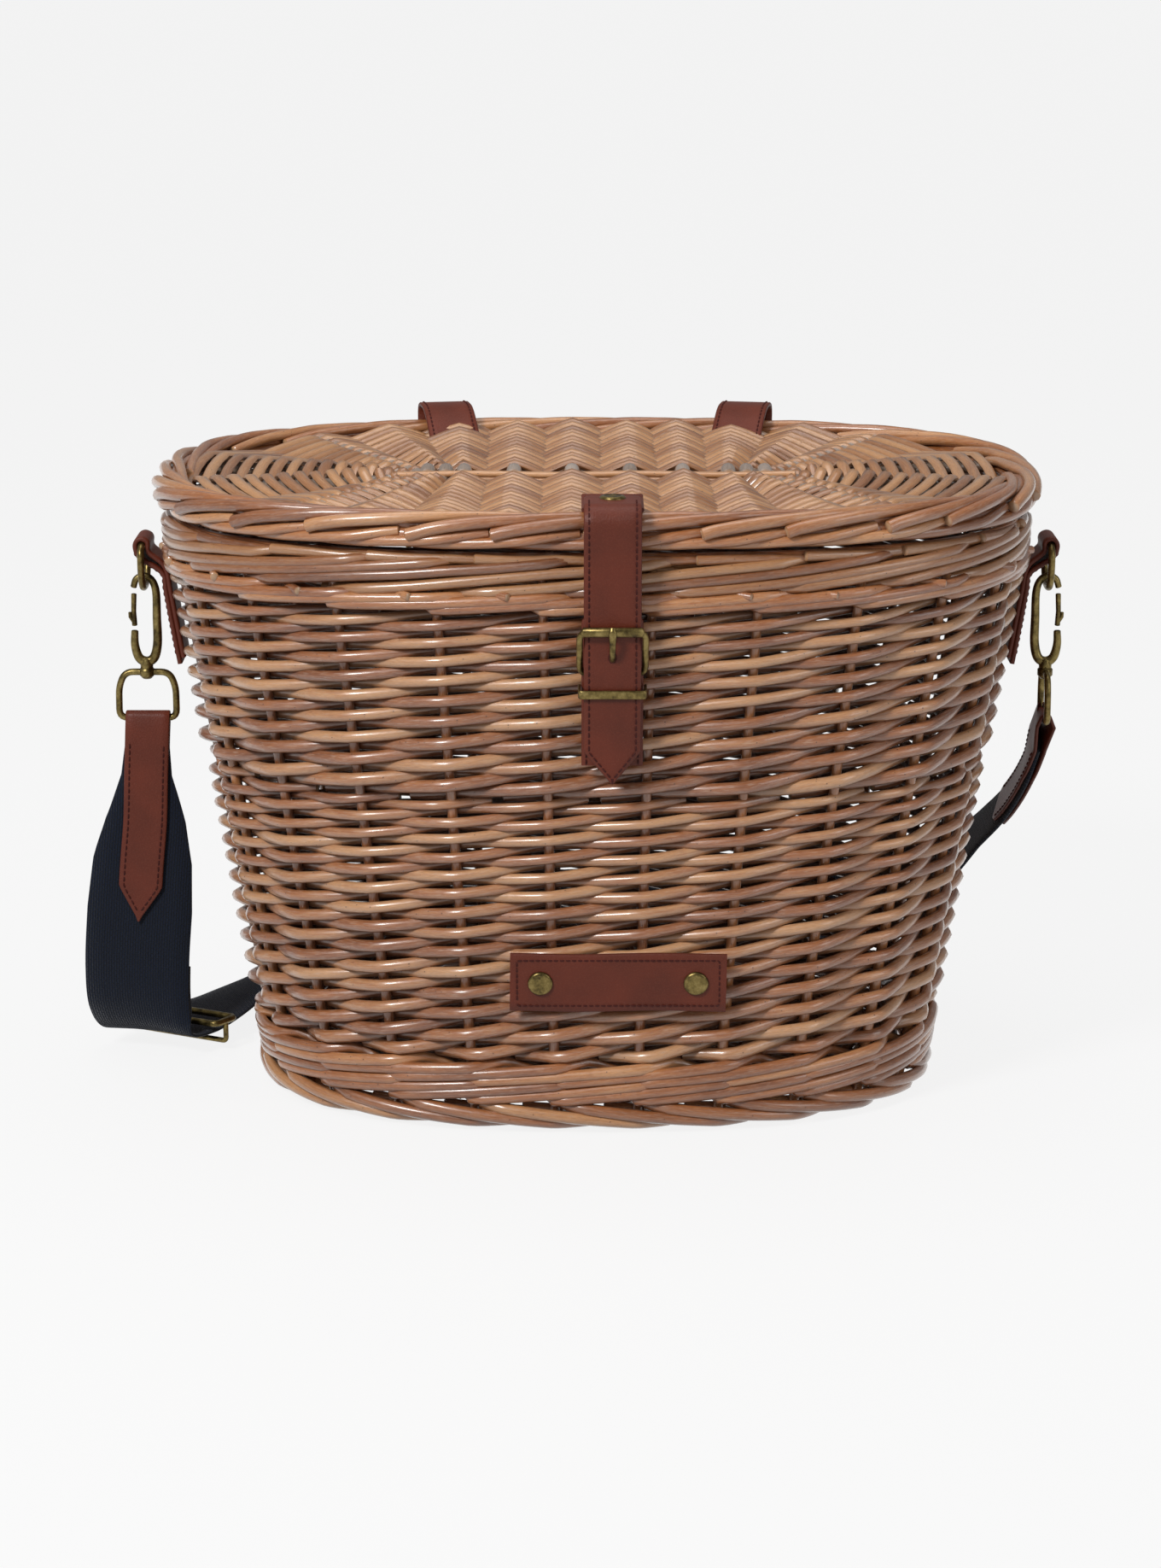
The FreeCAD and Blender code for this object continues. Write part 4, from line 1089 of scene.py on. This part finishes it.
def hardware_front():
    """The closure's buckle frame, its prong and the keeper below them."""
    pivot, bar = 221 / math.cos(LEAN), 242 / math.cos(LEAN)
    rods = buckle(FRONT, -5.0, -12.3, pivot, bar, 91)
    metal(rods, "buckle_frame_wire", "buckle_frame", "buckle_frame")
    rods = Rods(92)
    line = curve([(0, -5.0, pivot), (0, -8.5, pivot + 5.5), (0, -12.9, pivot + 11), (0, -15.3, bar - 3.2),
                  (0, -15.7, bar + 0.6), (0, -14.9, bar + 2.6)], 5)
    thickness = np.interp(np.arange(len(line)), [0, 12, 20, 25], [1.2, 1.3, 1.75, 1.3])
    rods.add(FRONT(line), FACING, thickness, sides=12, flat=0.62)
    rods.add(FRONT([(-2, -5.0, pivot), (2, -5.0, pivot)]), FACING, 2.3, sides=14)
    metal(rods, "buckle_prong_wire", "buckle_prong", "buckle_prong")
    bands = Straps(93)
    z = 213.5 / math.cos(LEAN)
    corners = [(-14.3, -3.0, z), (-14.3, -11.7, z), (14.3, -11.7, z), (14.3, -3.0, z)]
    line = rounded(corners, 1.6, closed=False)

    def outwards(x, y):
        """Sideways on the legs, forwards on the bridge, and between the two round the corners."""
        if abs(x) > 14.2 and y > -10.5:
            return x, 0, 0
        return (0, -1, 0) if abs(x) < 12.9 else (x / 14.3, -1, 0)

    out = np.array([outwards(x, y) for x, y, _ in line], float)
    bands.band(FRONT(line), FRONT(out, True), 1.9, 1.3, edge=0.4)
    metal(bands, "strap_keeper_band", "basket", "strap_keeper")


def label():
    """The blank leather patch low on the front, with its two rivets."""
    carry = placed((9.5, -114, 0), turn_x=LEAN)
    z = 75 / math.cos(LEAN)
    strap, seams = Straps(101), Rods(102)
    x = np.linspace(-48.3, 48.3, 26)
    sway = 0.35 * np.sin(x * 0.09)
    line = np.column_stack([x, -1.7 + 0.3 * sway, z + sway * 0.8])
    facing = carry([[0, -1, 0]], True)[0]
    strap.band(carry(line), facing, 13.9, 2.0)
    corners = [(-45.2, z - 11), (45.2, z - 11), (45.2, z + 11), (-45.2, z + 11)]
    seam = rounded([(x, -2.75, height) for x, height in corners], 1.2)
    seam = np.vstack([seam, seam[:1]])
    stitch_line(seams, carry(seam), facing, pitch=2.7, length=1.9, radius=0.38)
    stitched(strap, seams, "label", "basket", "label_patch")
    buttons = Straps(103)
    for side in (-1, 1):
        buttons.turned([(5.5, -0.5), (5.6, 0.6), (5.3, 1.1), (4.7, 1.5), (4.0, 1.65), (0.3, 1.75)],
                       carry([[side * 34.75, -2.7, z]])[0], facing, 36)
    metal(buttons, "label_rivet_heads", "basket", "label_rivets")


def ring_side(side, name):
    """The tab, the D ring, the snap hook with its gate, and the strap loop of one side."""
    wall = lambda z: wall_halves(z)[0]
    hang = 211.5
    path = [(wall(196) + 3.9, 196), (wall(215) + 3.9, 215), (wall(231) + 3.7, 231), (wall(238) + 3.9, 239),
            (hang + 0.6, 246), (hang + 2.9, 250.8)]
    path += [(hang + 3.0 * math.cos(a), 252 + 3.0 * math.sin(a)) for a in np.radians((40, 85, 130, 165))]
    path += [(hang - 3.4, 248.5), (wall(239) + 2.6, 242), (wall(231) + 1.7, 231), (wall(215) + 1.7, 215),
             (wall(199) + 1.7, 199)]
    line = curve([(side * x, 0, z) for x, z in path], 5)
    out = np.cross(np.gradient(line, axis=0), [0, 1.0, 0])
    out = -out if out[2][0] * side < 0 else out
    strap, seams = Straps(110 + side), Rods(112 + side)
    strap.band(line, out, 10.9, 2.1)
    edge_stitches(seams, strap.last, 2.0, 0.02, 0.36)
    stitched(strap, seams, "ring_tab", "basket", f"ring_tab_{name}", f"_{name}")
    at = lambda points: np.array([(side * (hang + x), y, z) for x, y, z in points])
    rods = Rods(120)
    corners = [(-14.6, 252), (14.6, 252), (14.0, 238), (7.5, 231), (-7.5, 231), (-14.0, 238)]
    rods.add(at(rounded([(0, y, z) for y, z in corners], 6.5)), (1, 0, 0), 1.65, sides=14, closed=True)
    metal(rods, f"ring_wire_{name}", f"ring_{name}", f"ring_{name}")
    rods = Rods(121)
    bend = [(5.2, 209.6), (5.3, 203), (3.6, 197), (0, 195), (-3.6, 197), (-5.3, 204), (-5.3, 216),
            (-5.2, 228), (-3.4, 233.8), (0.2, 236), (3.9, 234.4), (5.3, 230.6)]
    hook = curve([(x, 0, z) for x, z in bend], 6)
    width = np.interp(np.linspace(0, 1, len(hook)), [0, 0.25, 0.5, 0.8, 1], [1.7, 2.4, 2.1, 1.6, 1.5])
    rods.add(at(hook), (0, 1, 0), width, sides=12, flat=0.85)
    stud = [(0, 0, 196), (0, 0, 193.4), (0, 0, 192.2), (0, 0, 190)]
    rods.add(at(stud), (0, 1, 0), [2.4, 3.0, 3.0, 1.6], sides=16)
    rods.add(at([(0, 0, 191), (0, 0, 187.4)]), (0, 1, 0), [1.5, 2.6], sides=14)
    metal(rods, f"snap_hook_{name}", f"hook_{name}", f"hook_{name}")
    rods = Rods(122)
    rods.add(at([(5.2, 0, 212.4), (5.5, 0, 219), (5.2, 0, 227.2)]), (0, 1, 0), [1.3, 1.2, 1.3], sides=12)
    rods.add(at([(5.7, 0, 214.5), (7.1, 0, 216.5), (7.3, 0, 218.5)]), (0, 1, 0), [1.1, 1.0, 0.8], sides=10)
    metal(rods, f"hook_gate_bar_{name}", f"gate_{name}", f"hook_gate_{name}")
    rods = Rods(123)
    corners = [(-10.4, 190), (10.4, 190), (13.4, 183), (13.5, 168), (-13.5, 168), (-13.4, 183)]
    loop = rounded([(x, 0, z) for x, z in corners], 4.0)
    boss = [(0, 0, 187.9), (0, 0, 188.6), (0, 0, 191.4), (0, 0, 192.0)]
    if side > 0:
        loop = loop[:, [1, 0, 2]]
    rods.add(at(loop), (0, 1, 0) if side < 0 else (1, 0, 0), 1.6, sides=14, closed=True)
    rods.add(at(boss), (0, 1, 0), [3.0, 3.6, 3.6, 3.0], sides=18)
    metal(rods, f"strap_loop_wire_{name}", f"ring_{name}", f"strap_loop_{name}")


# the shoulder strap's middle line from left to right: x, y, z, width, and the way across it
ROUTE = [(-212, 0, 160, 20, (1, 0, 0)), (-213, 0, 140, 24, (1, 0, 0)), (-214, 0, 118, 38, (1, 0, 0)),
         (-216, 0, 98, 47, (1, 0, 0)), (-218, 0, 74, 50, (1, 0, 0)), (-220, 1, 48, 50, (1, -0.04, 0)),
         (-220, 3, 26, 50, (1, -0.15, -0.03)), (-216, 10, 12, 50, (0.93, -0.36, 0.02)),
         (-204, 26, 9.5, 50, (0.74, -0.66, 0.03)), (-187, 56, 11, 50, (0.62, -0.76, 0.12)),
         (-168, 88, 17, 50, (0.58, -0.70, 0.42)), (-140, 122, 22, 50, (0.42, -0.62, 0.66)),
         (-100, 150, 25, 50, (0.24, -0.50, 0.83)), (-50, 166, 27, 50, (0.08, -0.40, 0.91)),
         (0, 172, 28, 50, (0, -0.36, 0.93)), (50, 170, 29, 50, (-0.05, -0.36, 0.93)),
         (100, 158, 33, 50, (-0.16, -0.34, 0.92)), (139, 139, 43, 50, (-0.05, 0.02, 1.0)),
         (164, 112, 60, 46, (0.14, 0.38, 0.91)), (180, 84, 80, 38, (0.33, 0.66, 0.68)),
         (192, 59, 102, 30, (0.33, 0.69, 0.64)), (201, 35, 121, 24, (0.24, 0.74, 0.64)),
         (207, 17, 140, 22, (0.16, 0.82, 0.50)), (210, 6, 157, 20, (0.05, 0.93, 0.33))]

# where the strap starts to bend with a ring, and where it has turned the whole way, in metres
SWAY = {"left": ((-0.216, 0, 0.060), (-0.2125, 0, 0.150)),
        "right": ((0.190, 0.064, 0.085), (0.2095, 0.010, 0.152))}


def along_route(first, last, samples=10):
    """The strap's middle line, half width and facing between two places of its route."""
    line = curve([p[:3] for p in ROUTE], samples)
    t = np.linspace(0, len(ROUTE) - 1, len(line))
    half = np.interp(t, range(len(ROUTE)), [p[3] / 2 for p in ROUTE])
    across = np.stack([np.interp(t, range(len(ROUTE)), [p[4][k] for p in ROUTE]) for k in range(3)], -1)
    facing = unit(np.cross(across, unit(np.gradient(line, axis=0))))
    part = slice(first * samples, last * samples + 1)
    return line[part], half[part], facing[part]


def shoulder_strap():
    """The webbing in two halves that meet behind the basket, with the hem of its doubled end."""
    length = lambda line: float(np.linalg.norm(np.diff(line, axis=0), axis=1).sum()) * MM
    line, half, facing = along_route(0, 14)
    left = Straps(131)
    left.band(line, facing, half, 1.9, edge=0.5)
    left_half = left.mesh("shoulder_webbing_left", WEBBING)
    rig.replaces(left_half, "shoulder_webbing")
    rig.slot(left_half, "webbing")
    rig.blend(left_half, "basket", "ring_left", *SWAY["left"])
    # the doubled end at the bottom of the left side, with its hem
    hem_line, hem_half, hem_facing = along_route(5, 8)
    hem_line = hem_line[1:-9] + hem_facing[1:-9] * 2.0
    hem = Straps(132)
    hem.band(hem_line, hem_facing[1:-9], hem_half[1:-9] + 0.4, 1.9, edge=0.5)
    hem_piece = finish_piece(hem.mesh("shoulder_webbing_hem", WEBBING), "basket", "webbing")
    seams = Rods(133)
    points, up, across, wide, t = hem.last
    for index in (3, 6):
        reach = np.linspace(-1, 1, 12)[:, None] * (wide[index] - 2)
        stitch_line(seams, points[index] + across[index] * reach + up[index] * t, up[index], 3.0, 2.0, 0.35)
    seam_piece = finish_piece(seams.mesh("shoulder_webbing_seams", WEBBING), "basket", "webbing")
    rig.sheet(left_half, (0.05, length(line)), "hung", ("strap_loop_wire_left",),
             with_pieces=(hem_piece, seam_piece))
    line, half, facing = along_route(14, 23)
    right = Straps(134)
    right.band(line, facing, half, 1.9, edge=0.5)
    right_half = right.mesh("shoulder_webbing_right", WEBBING)
    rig.slot(right_half, "webbing")
    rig.blend(right_half, "basket", "ring_right", *SWAY["right"])
    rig.sheet(right_half, (0.05, length(line)), "hung", ("strap_loop_wire_right",))


def strap_end(name, order, side, low):
    """The leather over one end of the webbing: down its back, round the loop's bar and down its face."""
    line, _, facing = along_route(*order)
    if side > 0:
        line, facing = line[::-1], facing[::-1]
    step = run_along(line)
    keep = step <= low
    line, facing, step = line[keep], facing[keep], step[keep]
    middle = np.array([side * 211.5, 0, 168.0])
    top_facing = np.array([0, -1.0, 0]) if side < 0 else np.array([1.0, 0, 0])
    facing = facing * np.sign((facing[0] * top_facing).sum())
    ease = np.clip(step / 18, 0, 1)[:, None]
    facing = unit(top_facing * (1 - ease) + facing * ease)
    front = line + facing * 2.3
    back = line - facing * 2.3
    turn = np.radians(np.linspace(20, 160, 7))
    fold = [middle + top_facing * 2.75 * math.cos(a) + UP * 2.75 * math.sin(a) for a in turn]
    path = np.vstack([front[::-1], fold, back])
    outwards = np.vstack([facing[::-1], [top_facing * math.cos(a) + UP * math.sin(a) for a in turn], -facing])
    run = run_along(path)
    tip = 17.0 if side < 0 else 2.0
    half = 10.4 * np.clip(np.minimum(run, run[-1] - run) / tip, 0.03 if side < 0 else 0.75, 1)
    strap, seams = Straps(140 + side), Rods(142 + side)
    strap.band(path, outwards, half, 1.6)
    count = len(front) / len(path)
    edge_stitches(seams, strap.last, 2.4, 0.02, count * 0.93)
    edge_stitches(seams, strap.last, 2.4, 1 - count * 0.93, 0.98)
    leather_piece = strap.mesh(f"strap_end_leather_{name}", LEATHER)
    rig.replaces(leather_piece, f"strap_end_{name}")
    for piece in (leather_piece, seams.mesh(f"strap_end_seams_{name}", THREAD)):
        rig.slot(piece, "leather")
        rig.blend(piece, "basket", f"ring_{name}", *SWAY[name])


def tri_glide():
    """The adjuster: a wire frame over the webbing, with a middle bar that goes under it."""
    here, before, after = (np.array(ROUTE[i][:3], float) for i in (8, 7, 9))
    along = (after - before) / np.linalg.norm(after - before)
    across = np.array(ROUTE[8][4], float)
    across /= np.linalg.norm(across)
    across -= along * (across * along).sum()
    across /= np.linalg.norm(across)
    over = -np.cross(along, across)
    at = lambda points: np.array([here + across * x + along * y + over * z for x, y, z in points])
    rods = Rods(151)
    frame_line = rounded([(-29.4, -7.5, 5.0), (29.4, -7.5, 5.0), (29.4, 7.5, 5.0), (-29.4, 7.5, 5.0)], 3.0)
    rods.add(at(frame_line), over, 1.6, sides=12, closed=True)
    bar = rounded([(-29.4, 0, 5.0), (-29.4, 0, -5.0), (29.4, 0, -5.0), (29.4, 0, 5.0)], 2.0, closed=False)
    rods.add(at(bar), along, 1.3, sides=12)
    metal(rods, "tri_glide_frame", "tri_glide", "tri_glide")


def rear_strap(side, name):
    """The hinge strap on the lid and the handlebar strap on the wall, with its buckle, at one side."""
    beside = (76 / 205.5) ** POWER
    back = 153 * (1 - beside) ** (1 / POWER)
    carry = placed((side * 76, back, 0), turn_z=math.radians(-side * 11))
    strap, seams = Straps(161), Rods(162)
    path = [(-35, 284.5), (-29, 288.5), (-21, 293.2), (-13, 296.1), (-4, 296.7), (1.6, 296.0),
            (4.2, 292.5), (4.0, 286), (3.5, 279), (3.4, 273.6)]
    belt = curve([(0, y, z) for y, z in path], 5)
    out = np.cross(np.gradient(belt, axis=0), [1.0, 0, 0])
    out = out if out[8][2] > 0 else -out
    strap.band(carry(belt), carry(out, True), 12.4, 1.9)
    edge_stitches(seams, strap.last, 2.2)
    stitched(strap, seams, "hinge_strap", "lid", f"hinge_strap_{name}", f"_{name}")
    if side > 0:
        # painted shade: a thin dark disc in the thread colour stands in for the hole's shadowed inside
        hole = Straps(163)
        hole.turned([(1.3, 0), (1.2, 0.1), (0.2, 0.12)], carry([[-3.5, -17.5, 295.6]])[0],
                    carry([[0, -0.35, 1]], True)[0], 14)
        finish_piece(hole.mesh("hinge_strap_hole", THREAD), "lid", "leather")
    strap, seams = Straps(164), Rods(165)
    lean = lambda z: (z - 273) * math.tan(LEAN) + 2.3
    path = [(3.4, 272.4), (4.4, 268), (13, 259), (22.5, 250), (25.8, 240), (26.4, 226), (25.9, 208),
            (24.6, 196), (17.5, 181), (6, 175), (-5, 171.6), (lean(173) + 1.3, 173.5),
            (lean(180) + 1.15, 181)]
    path += [(lean(z) + 1.1, z) for z in (195, 215, 240, 258)]
    belt = curve([(0, y, z) for y, z in path], 6)
    out = np.cross(np.gradient(belt, axis=0), [1.0, 0, 0])
    out = out if out[30][1] > 0 else -out
    strap.band(carry(belt), carry(out, True), 12.3, 1.9)
    edge_stitches(seams, strap.last, 2.2)
    stitched(strap, seams, "handlebar_strap", "basket", f"handlebar_strap_{name}", f"_{name}")
    rods = buckle(carry, 29.2, 29.2, 226, 204, 166)
    metal(rods, f"rear_buckle_wire_{name}", f"rear_buckle_{name}", f"rear_buckle_{name}")
    rods = Rods(167)
    line = curve([(0, 29.2, 226), (0, 31.6, 223), (0, 32.1, 215), (0, 32.0, 206), (0, 31.4, 202.6)], 5)
    backwards = carry([[0, 1, 0]], True)[0]
    rods.add(carry(line), backwards, 1.5, sides=12, flat=0.62)
    rods.add(carry([(-2, 29.2, 226), (2, 29.2, 226)]), backwards, 2.3, sides=14)
    metal(rods, f"rear_prong_wire_{name}", f"rear_prong_{name}", f"rear_prong_{name}")
    strap = Straps(168)
    for middle in (-7.5, 7.5):
        turn = np.radians(np.linspace(-110, 195, 22))
        eye = np.array([(middle, 29.2 + 2.55 * math.cos(a), 226 + 2.55 * math.sin(a)) for a in turn])
        out = eye - np.array([middle, 29.2, 226])
        strap.band(carry(eye), carry(out, True), 3.8, 0.9, edge=0.3)
        tail = [(middle, 28.1, 228.4), (middle, 28.3, 231), (middle, 28.1, 235)]
        strap.band(carry(tail), backwards, 3.8, 1.6, edge=0.3)
    loops = strap.mesh(f"rear_pivot_loop_leather_{name}", LEATHER)
    finish_piece(loops, "basket", "leather", f"rear_pivot_loops_{name}")


closure()
hardware_front()
label()
for side_sign, side_name in ((-1, "left"), (1, "right")):
    ring_side(side_sign, side_name)
    rear_strap(side_sign, side_name)
shoulder_strap()
strap_end("left", (0, 5), -1, 92.0)
strap_end("right", (20, 23), 1, 62.0)
tri_glide()


# ------------------------------------------------------------------ floor, light and camera

def stage():
    """A wide pale floor that glows, so that shadows on it stay faint."""
    reach = 40.0
    corners = [(-reach, -reach, 0), (reach, -reach, 0), (reach, reach, 0), (-reach, reach, 0)]
    mesh = bpy.data.meshes.new("floor")
    mesh.from_pydata(corners, [], [(0, 1, 2, 3)])
    floor = bpy.data.objects.new("floor", mesh)
    bpy.context.scene.collection.objects.link(floor)
    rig.stage(floor)
    floor.visible_diffuse = False
    s = Shader("floor_paint")
    s.surface(Base_Color=(0.08, 0.08, 0.08, 1), Roughness=0.7, Specular_IOR_Level=0.1,
              Emission_Color=(1, 1, 1, 1), Emission_Strength=0.855)
    mesh.materials.append(s.material)


def area_light(name, place, target, size, power, colour=(1, 1, 1)):
    data = bpy.data.lights.new(name, "AREA")
    data.shape = "RECTANGLE"
    data.size, data.size_y = size
    data.energy = power
    data.color = colour
    lamp = bpy.data.objects.new(name, data)
    bpy.context.scene.collection.objects.link(lamp)
    lamp.location = place
    lamp.rotation_euler = (Vector(target) - Vector(place)).to_track_quat("-Z", "Y").to_euler()


def studio():
    """Soft light from the left, the right and above, and the camera."""
    world = bpy.data.worlds.new("studio")
    bpy.context.scene.world = world
    world.use_nodes = True
    world.node_tree.nodes["Background"].inputs[0].default_value = (1, 1, 1, 1)
    world.node_tree.nodes["Background"].inputs[1].default_value = 0.27
    area_light("key", (-1.0, -1.4, 1.5), (0, 0, 0.15), (0.45, 0.45), 31)
    area_light("fill", (1.5, -1.1, 0.9), (0, 0, 0.15), (0.8, 1.0), 6)
    area_light("top", (0.0, 0.1, 1.8), (0, 0, 0.2), (1.4, 1.0), 9)
    data = bpy.data.cameras.new("camera")
    data.lens = 88.62745
    data.clip_start, data.clip_end = 0.05, 50
    camera = bpy.data.objects.new("camera", data)
    bpy.context.scene.collection.objects.link(camera)
    camera.location = (-0.0073, -1.780, 0.563)
    camera.rotation_euler = (math.radians(76.5), 0, 0)
    bpy.context.scene.camera = camera
    bpy.context.scene.view_settings.view_transform = "Standard"


stage()
studio()

low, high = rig.bounds()
with open("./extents.json", "w") as report:
    json.dump({"cad": [list(cad_box[0]), list(cad_box[1])], "visual": [list(low), list(high)]}, report)
